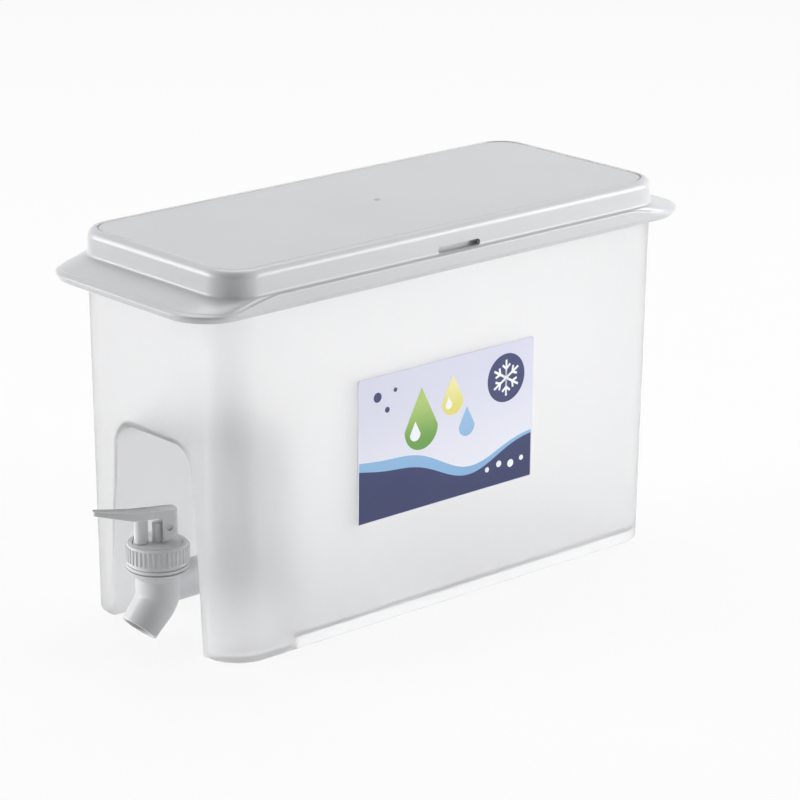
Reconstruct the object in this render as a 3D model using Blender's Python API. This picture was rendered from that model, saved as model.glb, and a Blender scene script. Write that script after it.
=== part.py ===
"""Fridge water jug with a press tap: tank with an alcove, lift-off lid, label and a swivelling spring tap."""

import math

import bmesh
import bpy
from mathutils import Matrix, Vector

# Driving sizes of the jug, in metres. The tap end faces -Y and the jug stands on z = 0.
JUG_HEIGHT = 0.170
JUG_LENGTH = 0.255
JUG_WIDTH = 0.105
EAR_REACH = 0.0148

# Clearance between pieces that touch, overrun of cutters and the distance that merges doubled points
GAP = 0.0003
OVERRUN = 0.002
MERGE = 0.00001
SHARP_ANGLE = math.radians(35)

# Steps of round shapes
CORNER_STEPS = 7
ROUND_STEPS = 32
SMALL_ROUND_STEPS = 20

# Tank
TANK_WALL = 0.0020
TANK_INSET_X = 0.0007
TANK_INSET_Y = 0.0015
TANK_DRAFT_X = 0.0010
TANK_DRAFT_Y = 0.0020
TANK_CORNER = 0.0170
BASE_EDGE = 0.0014
FOOT_HEIGHT = 0.0050
FOOT_WALL = 0.0022
FOOT_START = 0.0395
PILLAR_FLOOR = 0.0022
INNER_FLOOR_ROUND = 0.003

# Lug on the tank's long sides and hook in the lid over it
LUG_LENGTH = 0.022
LUG_DEPTH = 0.0004
LUG_HEIGHT = 0.0010
LUG_BELOW_RIM = 0.0022
HOOK_LENGTH = 0.020
HOOK_HEIGHT = 0.0010

# Alcove in the tap end
ALCOVE_HEIGHT = 0.0898
ALCOVE_HALF_WIDTH_FOOT = 0.0314
ALCOVE_HALF_WIDTH_TOP = 0.0245
ALCOVE_ROUND = 0.0110
ALCOVE_DEPTH = 0.0492
ALCOVE_WALL = 0.0022
ALCOVE_BACK_ROUND = 0.0070
ALCOVE_MOUTH_ROUND = 0.0018
ALCOVE_MOUTH_STEPS = 3
ALCOVE_ARC_STEPS = 5

# Lid
LID_WALL = 0.0016
LID_DEPTH = 0.0190
CROWN_RISE = 0.0114
CROWN_SETBACK = 0.0025
CROWN_LEAN_X = 0.0003
CROWN_LEAN_Y = 0.0003
CROWN_ROUND = 0.0035
CROWN_CORNER = 0.0160
CROWN_ROUND_STEPS = 4
SKIRT_STEP = 0.0022
EAR_CORNER = 0.0205
EAR_DROP = 0.0042
EAR_BLEND = 0.0220
EAR_BLEND_END = 0.0060
EAR_EDGE_ROUND = 0.0006
LIP_UNDERCUT = 0.0015
LIP_WALL = 0.0014
LIP_HEIGHT = 0.0022
RIB_WALL = 0.0014
RIB_DROP = 0.0045
RIB_RISE = 0.0006
SEAT_DROP = 0.0016
SLOT_LENGTH = 0.0240
SLOT_HEIGHT = 0.0028
SLOT_ABOVE_LEDGE = 0.0004
SIDE_SHARES = (-0.93, -0.86, -0.79, -0.72, -0.2, 0.2, 0.72, 0.79, 0.86, 0.93)

# Label on the +X long side
LABEL_LENGTH = 0.1015
LABEL_HEIGHT = 0.0645
LABEL_BASE = 0.0473
LABEL_OFFSET = -0.0055
LABEL_THICKNESS = 0.0003

# Tap: places
TAP_FRONT_OFFSET = 0.0045
SHANK_HEIGHT = 0.0225
LEVER_YAW = math.radians(-23)

# Tap: barrel, shoulder and neck
BARREL_RADIUS = 0.0097
SHOULDER_RADIUS = 0.0136
SHOULDER_FOOT = 0.0272
SHOULDER_BAND = 0.0308
SHOULDER_TOP = 0.0316
NECK_RADIUS = 0.0110
NECK_TOP = 0.0386
CHAMBER_RADIUS = 0.0076
SEAT_TOP = 0.0196
SEAT_HOLE_RADIUS = 0.0044
SEAT_HOLE_FLOOR = 0.0105

# Tap: spout
SPOUT_BEND_TOP = 0.0223
SPOUT_BEND_RADIUS = 0.0120
SPOUT_TILT = math.radians(43)
SPOUT_RUN = 0.0109
SPOUT_END_RADIUS = 0.0083
SPOUT_BORE_RADIUS = 0.0064
SPOUT_BORE_DEPTH = 0.0090
SPOUT_STEPS = 6

# Tap: shank through the alcove's back wall
SHANK_RADIUS = 0.0082
FLANGE_RADIUS = 0.0140
FLANGE_THICKNESS = 0.0022
TAIL_RADIUS = 0.0070
TAIL_LENGTH = 0.0165
INLET_RADIUS = 0.0044
INLET_START = 0.0062
THREAD_DEPTH = 0.0005
THREAD_PITCH = 0.0020
THREAD_COUNT = 5
GASKET_RADIUS = 0.0125
OUTER_GASKET_THICKNESS = 0.0012
INNER_GASKET_THICKNESS = 0.0016
NUT_RADIUS = 0.0108
NUT_THICKNESS = 0.0065
NUT_WING_REACH = 0.0034
NUT_WING_WIDTH = 0.0030
NUT_WINGS = 6

# Tap: bonnet
BONNET_HEIGHT = 0.0107
BONNET_BAND = 0.0015
BONNET_GROOVE = 0.0005
BONNET_GROOVE_DEPTH = 0.0005
BONNET_RIB_FOOT = 0.0031
BONNET_RIB_DEPTH = 0.0006
BONNET_RIBS = 40
BONNET_RIB_POINTS = 4
BONNET_CHAMFER = 0.0008
BONNET_PLATE = 0.0012
BONNET_RECESS_DEPTH = 0.0010
BONNET_RECESS_RADIUS = 0.0106
BONNET_BOSS_RADIUS = 0.0062
BONNET_BOSS_DEPTH = 0.0028
SEAL_POCKET_RADIUS = 0.0041
BONNET_SEAL_THICKNESS = 0.0012
BONNET_SEAL_BORE = 0.0080

# Tap: stem, plug, seal, washer and spring
STEM_RADIUS = 0.0022
STEM_CLEARANCE = 0.0001
STEM_TOP = 0.0515
STEM_FLANGE_RADIUS = 0.0056
STEM_FLANGE_THICKNESS = 0.0012
STEM_TIP_RADIUS = 0.0015
STEM_TIP_LENGTH = 0.0022
PLUG_RADIUS = 0.0062
PLUG_THICKNESS = 0.0032
PLUG_NOSE_RADIUS = 0.0038
PLUG_NOSE_LENGTH = 0.0014
STEM_SEAL_WIRE = 0.00065
WASHER_THICKNESS = 0.0008
SPRING_WIRE_RADIUS = 0.0004
SPRING_RADIUS = 0.0047
SPRING_CURLS = 6
SPRING_CURL_POINTS = 10
SPRING_END_CURLS = 1
SPRING_END_PITCH = 0.0014

# Tap: lever, eye and pin
LEVER_HALF_WIDTH = 0.0039
LEVER_TOP = 0.0573
LEVER_PLATE = 0.0033
LEVER_REAR = 0.0084
LEVER_SHOULDER = 0.0114
LEVER_REACH = 0.0276
LEVER_TIP_HALF_WIDTH = 0.0017
LEVER_TIP_RISE = 0.0021
LEVER_TIP_THICKNESS = 0.0020
LEVER_REAR_ROUND = 0.0022
LEVER_TIP_ROUND_SHARE = 0.45
LEVER_ARC_STEPS = 4
SHOULDER_STEPS = 2
LEVER_RIM = 0.0010
LEVER_RECESS = 0.0006
CHEEK_FRONT = -0.0015
CHEEK_HEEL_RISE = 0.0031
SLOT_HALF_WIDTH = 0.00195
LEVER_FOOT_RADIUS = 0.0030
LEVER_FOOT_AHEAD = 0.0070
PIN_SETBACK = 0.0045
PIN_HEIGHT = 0.0497
PIN_RADIUS = 0.00125
PIN_SINK = 0.0004
PIN_CLEARANCE = 0.0001
EYE_RADIUS = 0.0031
EYE_HALF_WIDTH = 0.0016

# Colour, roughness and metallic of each finish
MILKY = ((0.86, 0.87, 0.88), 0.35, 0.0)
LID_GREY = ((0.74, 0.75, 0.76), 0.28, 0.0)
TAP_WHITE = ((0.70, 0.71, 0.72), 0.35, 0.0)
SILICONE = ((0.80, 0.81, 0.80), 0.6, 0.0)
STEEL = ((0.62, 0.62, 0.64), 0.3, 1.0)
PAPER = ((0.78, 0.79, 0.86), 0.45, 0.0)

# Sizes that follow from the driving ones
CROWN_HALF_X = JUG_WIDTH / 2
END_Y = JUG_LENGTH / 2
CROWN_HALF_Y = END_Y - CROWN_SETBACK
TANK_HALF_X = CROWN_HALF_X - TANK_INSET_X
TANK_HALF_Y = END_Y - TANK_INSET_Y
LEDGE_Z = JUG_HEIGHT - CROWN_RISE
LID_FOOT_Z = JUG_HEIGHT - LID_DEPTH
SEAT_Z = LEDGE_Z - SEAT_DROP
RIM_Z = SEAT_Z - GAP
EAR_HALF_X = CROWN_HALF_X + SKIRT_STEP
EAR_HALF_Y = END_Y + EAR_REACH
ALCOVE_BACK_Y = -TANK_HALF_Y + ALCOVE_DEPTH
TAP_Y = -END_Y + TAP_FRONT_OFFSET
BONNET_FOOT = SHOULDER_TOP + GAP
BONNET_TOP = BONNET_FOOT + BONNET_HEIGHT
RECESS_Z = BONNET_TOP - BONNET_RECESS_DEPTH
PLATE_UNDER = RECESS_Z - BONNET_PLATE
BOSS_UNDER = PLATE_UNDER - BONNET_BOSS_DEPTH
WASHER_FOOT = RECESS_Z + GAP
LEVER_FOOT_Z = WASHER_FOOT + WASHER_THICKNESS + GAP
LEVER_UNDER = LEVER_TOP - LEVER_PLATE
PLUG_FOOT = SEAT_TOP + GAP
PLUG_TOP = PLUG_FOOT + PLUG_THICKNESS
STEM_FLANGE_FOOT = PLUG_TOP + GAP
STEM_FLANGE_TOP = STEM_FLANGE_FOOT + STEM_FLANGE_THICKNESS
FLANGE_BACK_Y = ALCOVE_BACK_Y - GAP - OUTER_GASKET_THICKNESS - GAP
FLANGE_FRONT_Y = FLANGE_BACK_Y - FLANGE_THICKNESS
WALL_REAR_Y = ALCOVE_BACK_Y + ALCOVE_WALL
TAIL_BORE = TAIL_RADIUS + GAP
LEVER_TIP_FLAT = LEVER_TIP_HALF_WIDTH * (1 - LEVER_TIP_ROUND_SHARE)
LEVER_TIP_Y = -(LEVER_REACH * math.cos(LEVER_YAW) + LEVER_TIP_FLAT * math.sin(abs(LEVER_YAW)))
CENTRE_Y = -(TAP_Y + LEVER_TIP_Y + EAR_HALF_Y) / 2


def clear_scene():
    """Removes every object that the file starts with."""
    for item in list(bpy.data.objects):
        bpy.data.objects.remove(item, do_unlink=True)


def finish_material(name, finish):
    """Gives a Principled material of one colour, roughness and metallic value."""
    colour, roughness, metallic = finish
    material = bpy.data.materials.new(name)
    material.use_nodes = True
    shader = material.node_tree.nodes["Principled BSDF"]
    shader.inputs["Base Color"].default_value = (*colour, 1.0)
    shader.inputs["Roughness"].default_value = roughness
    shader.inputs["Metallic"].default_value = metallic
    return material


def empty(name, location, yaw=0.0, parent=None):
    """Adds an empty that marks the frame or a joint's axis."""
    marker = bpy.data.objects.new(name, None)
    bpy.context.collection.objects.link(marker)
    marker.location = location
    marker.rotation_euler = (0, 0, yaw)
    marker.parent = parent
    return marker


def add_object(name, mesh_bm, parent, finish=None, shift=None):
    """Makes an object from a bmesh whose points are moved by shift, so that its origin sits there."""
    bmesh.ops.remove_doubles(mesh_bm, verts=mesh_bm.verts, dist=MERGE)
    bmesh.ops.recalc_face_normals(mesh_bm, faces=mesh_bm.faces)
    mesh = bpy.data.meshes.new(name)
    if shift:
        bmesh.ops.translate(mesh_bm, verts=mesh_bm.verts, vec=-Vector(shift))
    mesh_bm.to_mesh(mesh)
    mesh_bm.free()
    mesh.shade_smooth()
    mesh.set_sharp_from_angle(angle=SHARP_ANGLE)
    item = bpy.data.objects.new(name, mesh)
    bpy.context.collection.objects.link(item)
    item.parent = parent
    if shift:
        item.location = shift
    if finish:
        mesh.materials.append(finish_material(name, finish))
    return item


def as_guide(item):
    """Marks an object as a cutter or a guide, which isn't part of the model."""
    item.hide_render = True
    item.display_type = "WIRE"
    return item


def combine(target, other, operation):
    """Joins or cuts the target with another object, which becomes a guide."""
    modifier = target.modifiers.new(operation.title() + " " + other.name, "BOOLEAN")
    modifier.operation = operation
    modifier.solver = "EXACT"
    modifier.object = as_guide(other)
    weld = target.modifiers.new("Weld", "WELD")
    weld.merge_threshold = MERGE


def cut(target, other):
    """Cuts other out of the target."""
    combine(target, other, "DIFFERENCE")


def join(target, other):
    """Joins other to the target."""
    combine(target, other, "UNION")


def limit(target, other):
    """Keeps of the target only what lies inside other."""
    combine(target, other, "INTERSECT")


def rounded_outline(half_x, half_y, radius, side_shares=()):
    """Gives the points of a rounded rectangle, anticlockwise, with added points along its long sides."""
    points = []
    straight = half_y - radius
    corners = ((1, -1, -90), (1, 1, 0), (-1, 1, 90), (-1, -1, 180))
    for side_x, side_y, start in corners:
        for step in range(CORNER_STEPS + 1):
            angle = math.radians(start + 90 * step / CORNER_STEPS)
            centre_x = side_x * (half_x - radius)
            centre_y = side_y * straight
            points.append((centre_x + radius * math.cos(angle), centre_y + radius * math.sin(angle)))
        if side_x * side_y < 0:
            points += [(side_x * half_x, side_x * share * straight) for share in side_shares]
    return points


def ring(half_x, half_y, radius, z, side_shares=()):
    """Gives a rounded rectangle's points at one height."""
    return [Vector((x, y, z)) for x, y in rounded_outline(half_x, half_y, radius, side_shares)]


def circle(radius, centre, direction, steps):
    """Gives a circle's points about a direction that lies in the YZ plane."""
    across = Vector((1, 0, 0))
    up = Vector(direction).normalized().cross(across)
    angles = [2 * math.pi * step / steps for step in range(steps)]
    return [Vector(centre) + radius * (math.cos(a) * across + math.sin(a) * up) for a in angles]


def loft(rings):
    """Skins a stack of rings with equal counts and caps both ends."""
    mesh_bm = bmesh.new()
    loops = [[mesh_bm.verts.new(point) for point in points] for points in rings]
    for low, high in zip(loops, loops[1:]):
        for index in range(len(low)):
            after = (index + 1) % len(low)
            mesh_bm.faces.new((low[index], low[after], high[after], high[index]))
    mesh_bm.faces.new(loops[0])
    mesh_bm.faces.new(loops[-1])
    return mesh_bm


def turned(profile, steps, closed):
    """Spins a profile of (radius, height) about Z. A closed profile leaves a bore, an open one is solid."""
    mesh_bm = bmesh.new()
    points = [mesh_bm.verts.new((radius, 0, z)) for radius, z in profile]
    if not closed:
        points.insert(0, mesh_bm.verts.new((0, 0, profile[0][1])))
        points.append(mesh_bm.verts.new((0, 0, profile[-1][1])))
    pairs = list(zip(points, points[1:]))
    if closed:
        pairs.append((points[-1], points[0]))
    edges = [mesh_bm.edges.new(pair) for pair in pairs]
    bmesh.ops.spin(
        mesh_bm,
        geom=points + edges,
        cent=(0, 0, 0),
        axis=(0, 0, 1),
        angle=2 * math.pi,
        steps=steps,
        use_merge=True,
        use_duplicate=False,
    )
    return mesh_bm


def laid_along_y(mesh_bm, y, z):
    """Turns a mesh that was made about Z so that it points to +Y, and moves it to a height and a start."""
    bmesh.ops.rotate(mesh_bm, verts=mesh_bm.verts, cent=(0, 0, 0), matrix=Matrix.Rotation(-math.pi / 2, 3, "X"))
    bmesh.ops.translate(mesh_bm, verts=mesh_bm.verts, vec=(0, y, z))
    return mesh_bm


def lifted(mesh_bm, place):
    """Moves a mesh to a place."""
    bmesh.ops.translate(mesh_bm, verts=mesh_bm.verts, vec=place)
    return mesh_bm


def block(low, high):
    """Gives a box between two corners."""
    mesh_bm = bmesh.new()
    bmesh.ops.create_cube(mesh_bm, size=1)
    size = Vector(high) - Vector(low)
    bmesh.ops.scale(mesh_bm, verts=mesh_bm.verts, vec=size)
    return lifted(mesh_bm, (Vector(high) + Vector(low)) / 2)


def prism(outline, low, high):
    """Gives an upright prism over an outline of (x, y) points."""
    return loft([[Vector((x, y, z)) for x, y in outline] for z in (low, high)])


def side_prism(outline, half_width):
    """Gives a prism across X over an outline of (y, z) points."""
    return loft([[Vector((x, y, z)) for y, z in outline] for x in (-half_width, half_width)])


def arc(centre, radius, start, end, steps):
    """Gives the points of an arc, its angles in degrees."""
    angles = [math.radians(start + (end - start) * step / steps) for step in range(steps + 1)]
    return [(centre[0] + radius * math.cos(a), centre[1] + radius * math.sin(a)) for a in angles]


def tank_ring(z, inset=0.0, edge=0.0):
    """Gives the tank's outline at a height, with its draft, moved in by a wall or a rounded edge."""
    share = 1 - z / RIM_Z
    half_x = TANK_HALF_X - TANK_DRAFT_X * share - inset - edge
    half_y = TANK_HALF_Y - TANK_DRAFT_Y * share - inset - edge
    return ring(half_x, half_y, TANK_CORNER - inset - edge, z)


def tank_outside():
    """Gives the tank's outer form, with a rounded foot."""
    rings = [tank_ring(0, edge=BASE_EDGE), tank_ring(BASE_EDGE), tank_ring(RIM_Z)]
    return loft(rings)


def tank_inside(floor, top, wall):
    """Gives the tank's cavity from a floor up, with a rounded floor edge."""
    low = tank_ring(floor, wall, INNER_FLOOR_ROUND)
    return loft([low, tank_ring(floor + INNER_FLOOR_ROUND, wall), tank_ring(top, wall)])


def alcove_outline(grow, foot):
    """Gives the arch's outline in X and Z, grown by a wall."""
    slope = (ALCOVE_HALF_WIDTH_FOOT - ALCOVE_HALF_WIDTH_TOP) / ALCOVE_HEIGHT
    top = ALCOVE_HEIGHT + grow
    radius = ALCOVE_ROUND + grow
    half_top = ALCOVE_HALF_WIDTH_TOP + grow
    half_foot = ALCOVE_HALF_WIDTH_FOOT + grow - slope * foot
    right = arc((half_top - radius, top - radius), radius, 0, 90, ALCOVE_ARC_STEPS)
    left = arc((radius - half_top, top - radius), radius, 90, 180, ALCOVE_ARC_STEPS)
    return [(half_foot, foot)] + right + left + [(-half_foot, foot)]


def mouth_ring(grow, depth, foot):
    """Gives the arch's outline in the tank's drafted end face, at a depth behind it."""
    points = []
    for x, z in alcove_outline(grow, foot):
        face = -TANK_HALF_Y + TANK_DRAFT_Y * (1 - z / RIM_Z)
        points.append(Vector((x, face + depth, z)))
    return points


def alcove_block(grow, foot, mouth_round):
    """Gives the alcove as a solid, grown by a wall, with a rounded mouth and a rounded back edge."""
    back = ALCOVE_BACK_Y + grow
    front = -END_Y - EAR_REACH
    rings = [[Vector((x, front, z)) for x, z in alcove_outline(grow + mouth_round, foot)]]
    for step in range(ALCOVE_MOUTH_STEPS + 1):
        angle = math.pi / 2 * step / ALCOVE_MOUTH_STEPS
        wider = mouth_round * (1 - math.sin(angle))
        rings.append(mouth_ring(grow + wider, mouth_round * (1 - math.cos(angle)), foot))
    for step in range(ALCOVE_ARC_STEPS + 1):
        angle = math.pi / 2 * step / ALCOVE_ARC_STEPS
        shrink = ALCOVE_BACK_ROUND * (1 - math.cos(angle))
        y = back - ALCOVE_BACK_ROUND * (1 - math.sin(angle))
        outline = alcove_outline(grow - shrink, foot)
        rings.append([Vector((x, y, z)) for x, z in outline])
    return loft(rings)


def alcove_wall_block():
    """Gives the alcove with its wall, which the tank's cavity leaves standing."""
    back = ALCOVE_BACK_Y + ALCOVE_WALL
    front = -END_Y - EAR_REACH
    foot = -OVERRUN * 2
    rings = [[Vector((x, front, z)) for x, z in alcove_outline(ALCOVE_WALL, foot)]]
    for step in range(ALCOVE_ARC_STEPS + 1):
        angle = math.pi / 2 * step / ALCOVE_ARC_STEPS
        shrink = ALCOVE_BACK_ROUND * (1 - math.cos(angle))
        y = back - ALCOVE_BACK_ROUND * (1 - math.sin(angle))
        rings.append([Vector((x, y, z)) for x, z in alcove_outline(ALCOVE_WALL - shrink, foot)])
    return loft(rings)


def make_container(parent):
    """Makes the tank: its shell, alcove, foot skirt, lugs and the hole for the tap."""
    tank = add_object("container", tank_outside(), parent, MILKY)
    for side in (-1, 1):
        outer = TANK_HALF_X + LUG_DEPTH
        inner = TANK_HALF_X - TANK_WALL / 2
        top = RIM_Z - LUG_BELOW_RIM
        xs = sorted((side * inner, side * outer))
        lug = block((xs[0], -LUG_LENGTH / 2, top - LUG_HEIGHT), (xs[1], LUG_LENGTH / 2, top))
        join(tank, add_object("lug_guide", lug, parent))
    floor = FOOT_HEIGHT + FOOT_WALL
    cavity = add_object("cavity_guide", tank_inside(floor, RIM_Z + OVERRUN, TANK_WALL), parent)
    pillar = tank_inside(PILLAR_FLOOR, floor + INNER_FLOOR_ROUND + OVERRUN, TANK_WALL + GAP)
    pillar_cavity = add_object("pillar_cavity_guide", pillar, parent)
    foot_y = -END_Y + FOOT_START
    wide = JUG_WIDTH
    pillar_limit = block((-wide, foot_y - FOOT_WALL, -OVERRUN), (wide, JUG_LENGTH, LEDGE_Z))
    cut(pillar_cavity, add_object("pillar_limit_guide", pillar_limit, parent))
    keep = add_object("alcove_wall_guide", alcove_wall_block(), parent)
    join(cavity, pillar_cavity)
    cut(cavity, keep)
    foot_low = tank_ring(-OVERRUN, FOOT_WALL)
    foot_high = [Vector((point.x, point.y, FOOT_HEIGHT)) for point in foot_low]
    recess = add_object("foot_recess_guide", loft([foot_low, foot_high]), parent)
    recess_limit = block((-wide, -JUG_LENGTH, -OVERRUN * 2), (wide, foot_y, LEDGE_Z))
    cut(recess, add_object("recess_limit_guide", recess_limit, parent))
    cut(recess, keep)
    cut(tank, cavity)
    cut(tank, add_object("alcove_guide", alcove_block(0, -OVERRUN, ALCOVE_MOUTH_ROUND), parent))
    cut(tank, recess)
    hole = turned([(TAIL_BORE, -OVERRUN), (TAIL_BORE, ALCOVE_WALL + OVERRUN)], ROUND_STEPS, False)
    cut(tank, add_object("tap_hole_guide", laid_along_y(hole, ALCOVE_BACK_Y, SHANK_HEIGHT), parent))


def ear_height(y):
    """Gives how far the flange's top edge lies below the ledge, which it does only at the ears."""
    start = EAR_HALF_Y - EAR_CORNER - EAR_BLEND
    share = min(max((abs(y) - start) / (EAR_BLEND + EAR_BLEND_END), 0), 1)
    return EAR_DROP * share * share * (3 - 2 * share)


def flange_ring(inset, drop, fall):
    """Gives the flange's top edge, moved in by an inset and down by a drop and by a share of the ears' fall."""
    points = rounded_outline(EAR_HALF_X - inset, EAR_HALF_Y - inset, EAR_CORNER - inset, SIDE_SHARES)
    return [Vector((x, y, LEDGE_Z - drop - fall * ear_height(y))) for x, y in points]


def crown_ring(z, inset):
    """Gives the crown's outline at a height, leaning in towards the top."""
    share = (z - LEDGE_Z) / CROWN_RISE
    half_x = CROWN_HALF_X - CROWN_LEAN_X * share - inset
    half_y = CROWN_HALF_Y - CROWN_LEAN_Y * share - inset
    return ring(half_x, half_y, CROWN_CORNER - inset, z, SIDE_SHARES)


def crown_rings(inset):
    """Gives the crown's wall and rounded shoulder, moved in by a wall."""
    top = JUG_HEIGHT - inset
    rings = [crown_ring(top - CROWN_ROUND, inset)]
    for step in range(1, CROWN_ROUND_STEPS + 1):
        angle = math.pi / 2 * step / CROWN_ROUND_STEPS
        z = top - CROWN_ROUND * (1 - math.sin(angle))
        rings.append(crown_ring(z, inset + CROWN_ROUND * (1 - math.cos(angle))))
    return rings


def make_lid(parent):
    """Makes the lid: crown, flange with its ears, lip, locating rib, windows and hooks."""
    foot = LID_DEPTH - CROWN_RISE
    outside = [flange_ring(LIP_UNDERCUT, foot, 0)]
    outside.append(flange_ring(0, foot - LIP_HEIGHT, 0))
    outside.append(flange_ring(0, EAR_EDGE_ROUND, 1))
    outside.append(flange_ring(EAR_EDGE_ROUND, 0, 1))
    outside.append(crown_ring(LEDGE_Z + GAP, 0))
    outside += crown_rings(0)
    rib_x = TANK_HALF_X - TANK_WALL - GAP
    rib_y = TANK_HALF_Y - TANK_WALL - GAP
    rib_round = TANK_CORNER - TANK_WALL - GAP
    inside = [flange_ring(LIP_UNDERCUT + LIP_WALL, foot, 0)]
    inside.append(flange_ring(LIP_WALL, foot - LIP_HEIGHT, 0))
    inside.append(flange_ring(LIP_WALL, LID_WALL, 1))
    seat_x = TANK_HALF_X + GAP
    seat_y = TANK_HALF_Y + GAP
    inside.append(ring(seat_x, seat_y, TANK_CORNER, SEAT_Z, SIDE_SHARES))
    inside.append(ring(rib_x, rib_y, rib_round, SEAT_Z, SIDE_SHARES))
    inside.append(ring(rib_x, rib_y, rib_round, SEAT_Z - RIB_DROP, SIDE_SHARES))
    deep = RIB_WALL
    inside.append(ring(rib_x - deep, rib_y - deep, rib_round - deep, SEAT_Z - RIB_DROP, SIDE_SHARES))
    inside.append(ring(rib_x - deep, rib_y - deep, rib_round - deep, SEAT_Z + RIB_RISE, SIDE_SHARES))
    inside.append(crown_ring(LEDGE_Z + GAP, LID_WALL))
    inside += crown_rings(LID_WALL)
    lid = add_object("lid", loft(list(reversed(outside)) + inside), parent, LID_GREY)
    for side in (-1, 1):
        slot_low = LEDGE_Z + SLOT_ABOVE_LEDGE
        slot_high = slot_low + SLOT_HEIGHT
        xs = sorted((side * (CROWN_HALF_X - LID_WALL * 2), side * (CROWN_HALF_X + LID_WALL)))
        slot = rounded_outline(SLOT_HEIGHT / 2 - MERGE, SLOT_LENGTH / 2, SLOT_HEIGHT / 2 - MERGE * 2)
        middle = (slot_low + slot_high) / 2
        window = loft([[Vector((x, y, middle + z)) for z, y in slot] for x in xs])
        cut(lid, add_object("slot_guide", window, parent))
        reach = TANK_HALF_X + LUG_DEPTH + GAP
        xs = sorted((side * reach, side * (EAR_HALF_X - LIP_WALL / 2)))
        low = LID_FOOT_Z + LIP_HEIGHT / 2
        hook = block((xs[0], -HOOK_LENGTH / 2, low), (xs[1], HOOK_LENGTH / 2, low + HOOK_HEIGHT))
        join(lid, add_object("hook_guide", hook, parent))


def make_label(parent):
    """Makes the label, a thin sheet that lies along the drafted long side."""
    lean = math.atan(TANK_DRAFT_X / RIM_Z)
    middle = LABEL_BASE + LABEL_HEIGHT / 2
    wall_x = TANK_HALF_X - TANK_DRAFT_X * (1 - middle / RIM_Z)
    half = Vector((LABEL_THICKNESS, LABEL_LENGTH, LABEL_HEIGHT)) / 2
    sheet = block(-half, half)
    bmesh.ops.rotate(sheet, verts=sheet.verts, cent=(0, 0, 0), matrix=Matrix.Rotation(lean, 3, "Y"))
    place = (wall_x + GAP + half.x, LABEL_OFFSET, middle)
    add_object("label", lifted(sheet, place), parent, PAPER)


def spout_path(run):
    """Gives the spout's centre, direction and radius share, from the bend's top to a run past the bend."""
    places = []
    for step in range(SPOUT_STEPS + 1):
        angle = SPOUT_TILT * step / SPOUT_STEPS
        y = -SPOUT_BEND_RADIUS * (1 - math.cos(angle))
        z = SPOUT_BEND_TOP - SPOUT_BEND_RADIUS * math.sin(angle)
        places.append((Vector((0, TAP_Y + y, z)), Vector((0, -math.sin(angle), -math.cos(angle)))))
    last, direction = places[-1]
    places.append((last + direction * run, direction))
    return places


def make_tap_body(parent):
    """Makes the tap's body: barrel, shoulder, neck, spout, shank, flange and tail, and its waterways."""
    places = spout_path(SPOUT_RUN)
    share_step = (BARREL_RADIUS - SPOUT_END_RADIUS) / (len(places) - 1)
    down = Vector((0, 0, -1))
    rings = [circle(BARREL_RADIUS, (0, TAP_Y, SHOULDER_BAND), down, ROUND_STEPS)]
    for index, (centre, direction) in enumerate(places):
        rings.append(circle(BARREL_RADIUS - share_step * index, centre, direction, ROUND_STEPS))
    body = add_object("tap_body", loft(rings), parent, TAP_WHITE)
    shoulder = [
        (BARREL_RADIUS - GAP, SHOULDER_FOOT - GAP),
        (SHOULDER_RADIUS, SHOULDER_BAND),
        (SHOULDER_RADIUS, SHOULDER_TOP),
        (NECK_RADIUS, SHOULDER_TOP),
        (NECK_RADIUS, NECK_TOP),
    ]
    shoulder_bm = lifted(turned(shoulder, ROUND_STEPS, False), (0, TAP_Y, 0))
    join(body, add_object("shoulder_guide", shoulder_bm, parent))
    to_flange = FLANGE_FRONT_Y - TAP_Y
    to_tail = to_flange + FLANGE_THICKNESS
    shank = [(SHANK_RADIUS, 0), (SHANK_RADIUS, to_flange), (FLANGE_RADIUS, to_flange), (FLANGE_RADIUS, to_tail)]
    shank.append((TAIL_RADIUS, to_tail))
    thread_start = to_tail + TAIL_LENGTH - THREAD_PITCH * THREAD_COUNT
    for turn in range(THREAD_COUNT):
        low = thread_start + THREAD_PITCH * turn
        shank += [(TAIL_RADIUS, low), (TAIL_RADIUS - THREAD_DEPTH, low + THREAD_PITCH / 2)]
    shank.append((TAIL_RADIUS, to_tail + TAIL_LENGTH))
    shank_bm = laid_along_y(turned(shank, ROUND_STEPS, False), TAP_Y, SHANK_HEIGHT)
    join(body, add_object("shank_guide", shank_bm, parent))
    chamber = turned([(CHAMBER_RADIUS, SEAT_TOP), (CHAMBER_RADIUS, NECK_TOP + OVERRUN)], ROUND_STEPS, False)
    cut(body, add_object("chamber_guide", lifted(chamber, (0, TAP_Y, 0)), parent))
    throat = turned([(SEAT_HOLE_RADIUS, SEAT_HOLE_FLOOR), (SEAT_HOLE_RADIUS, SEAT_TOP + GAP)], ROUND_STEPS, False)
    cut(body, add_object("throat_guide", lifted(throat, (0, TAP_Y, 0)), parent))
    inlet_run = to_tail + TAIL_LENGTH + OVERRUN
    inlet = turned([(INLET_RADIUS, INLET_START), (INLET_RADIUS, inlet_run)], ROUND_STEPS, False)
    cut(body, add_object("inlet_guide", laid_along_y(inlet, TAP_Y, SHANK_HEIGHT), parent))
    outlet, direction = places[-1]
    bore = [outlet - direction * SPOUT_BORE_DEPTH, outlet + direction * OVERRUN]
    bore_bm = loft([circle(SPOUT_BORE_RADIUS, centre, direction, ROUND_STEPS) for centre in bore])
    cut(body, add_object("spout_bore_guide", bore_bm, parent))


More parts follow.
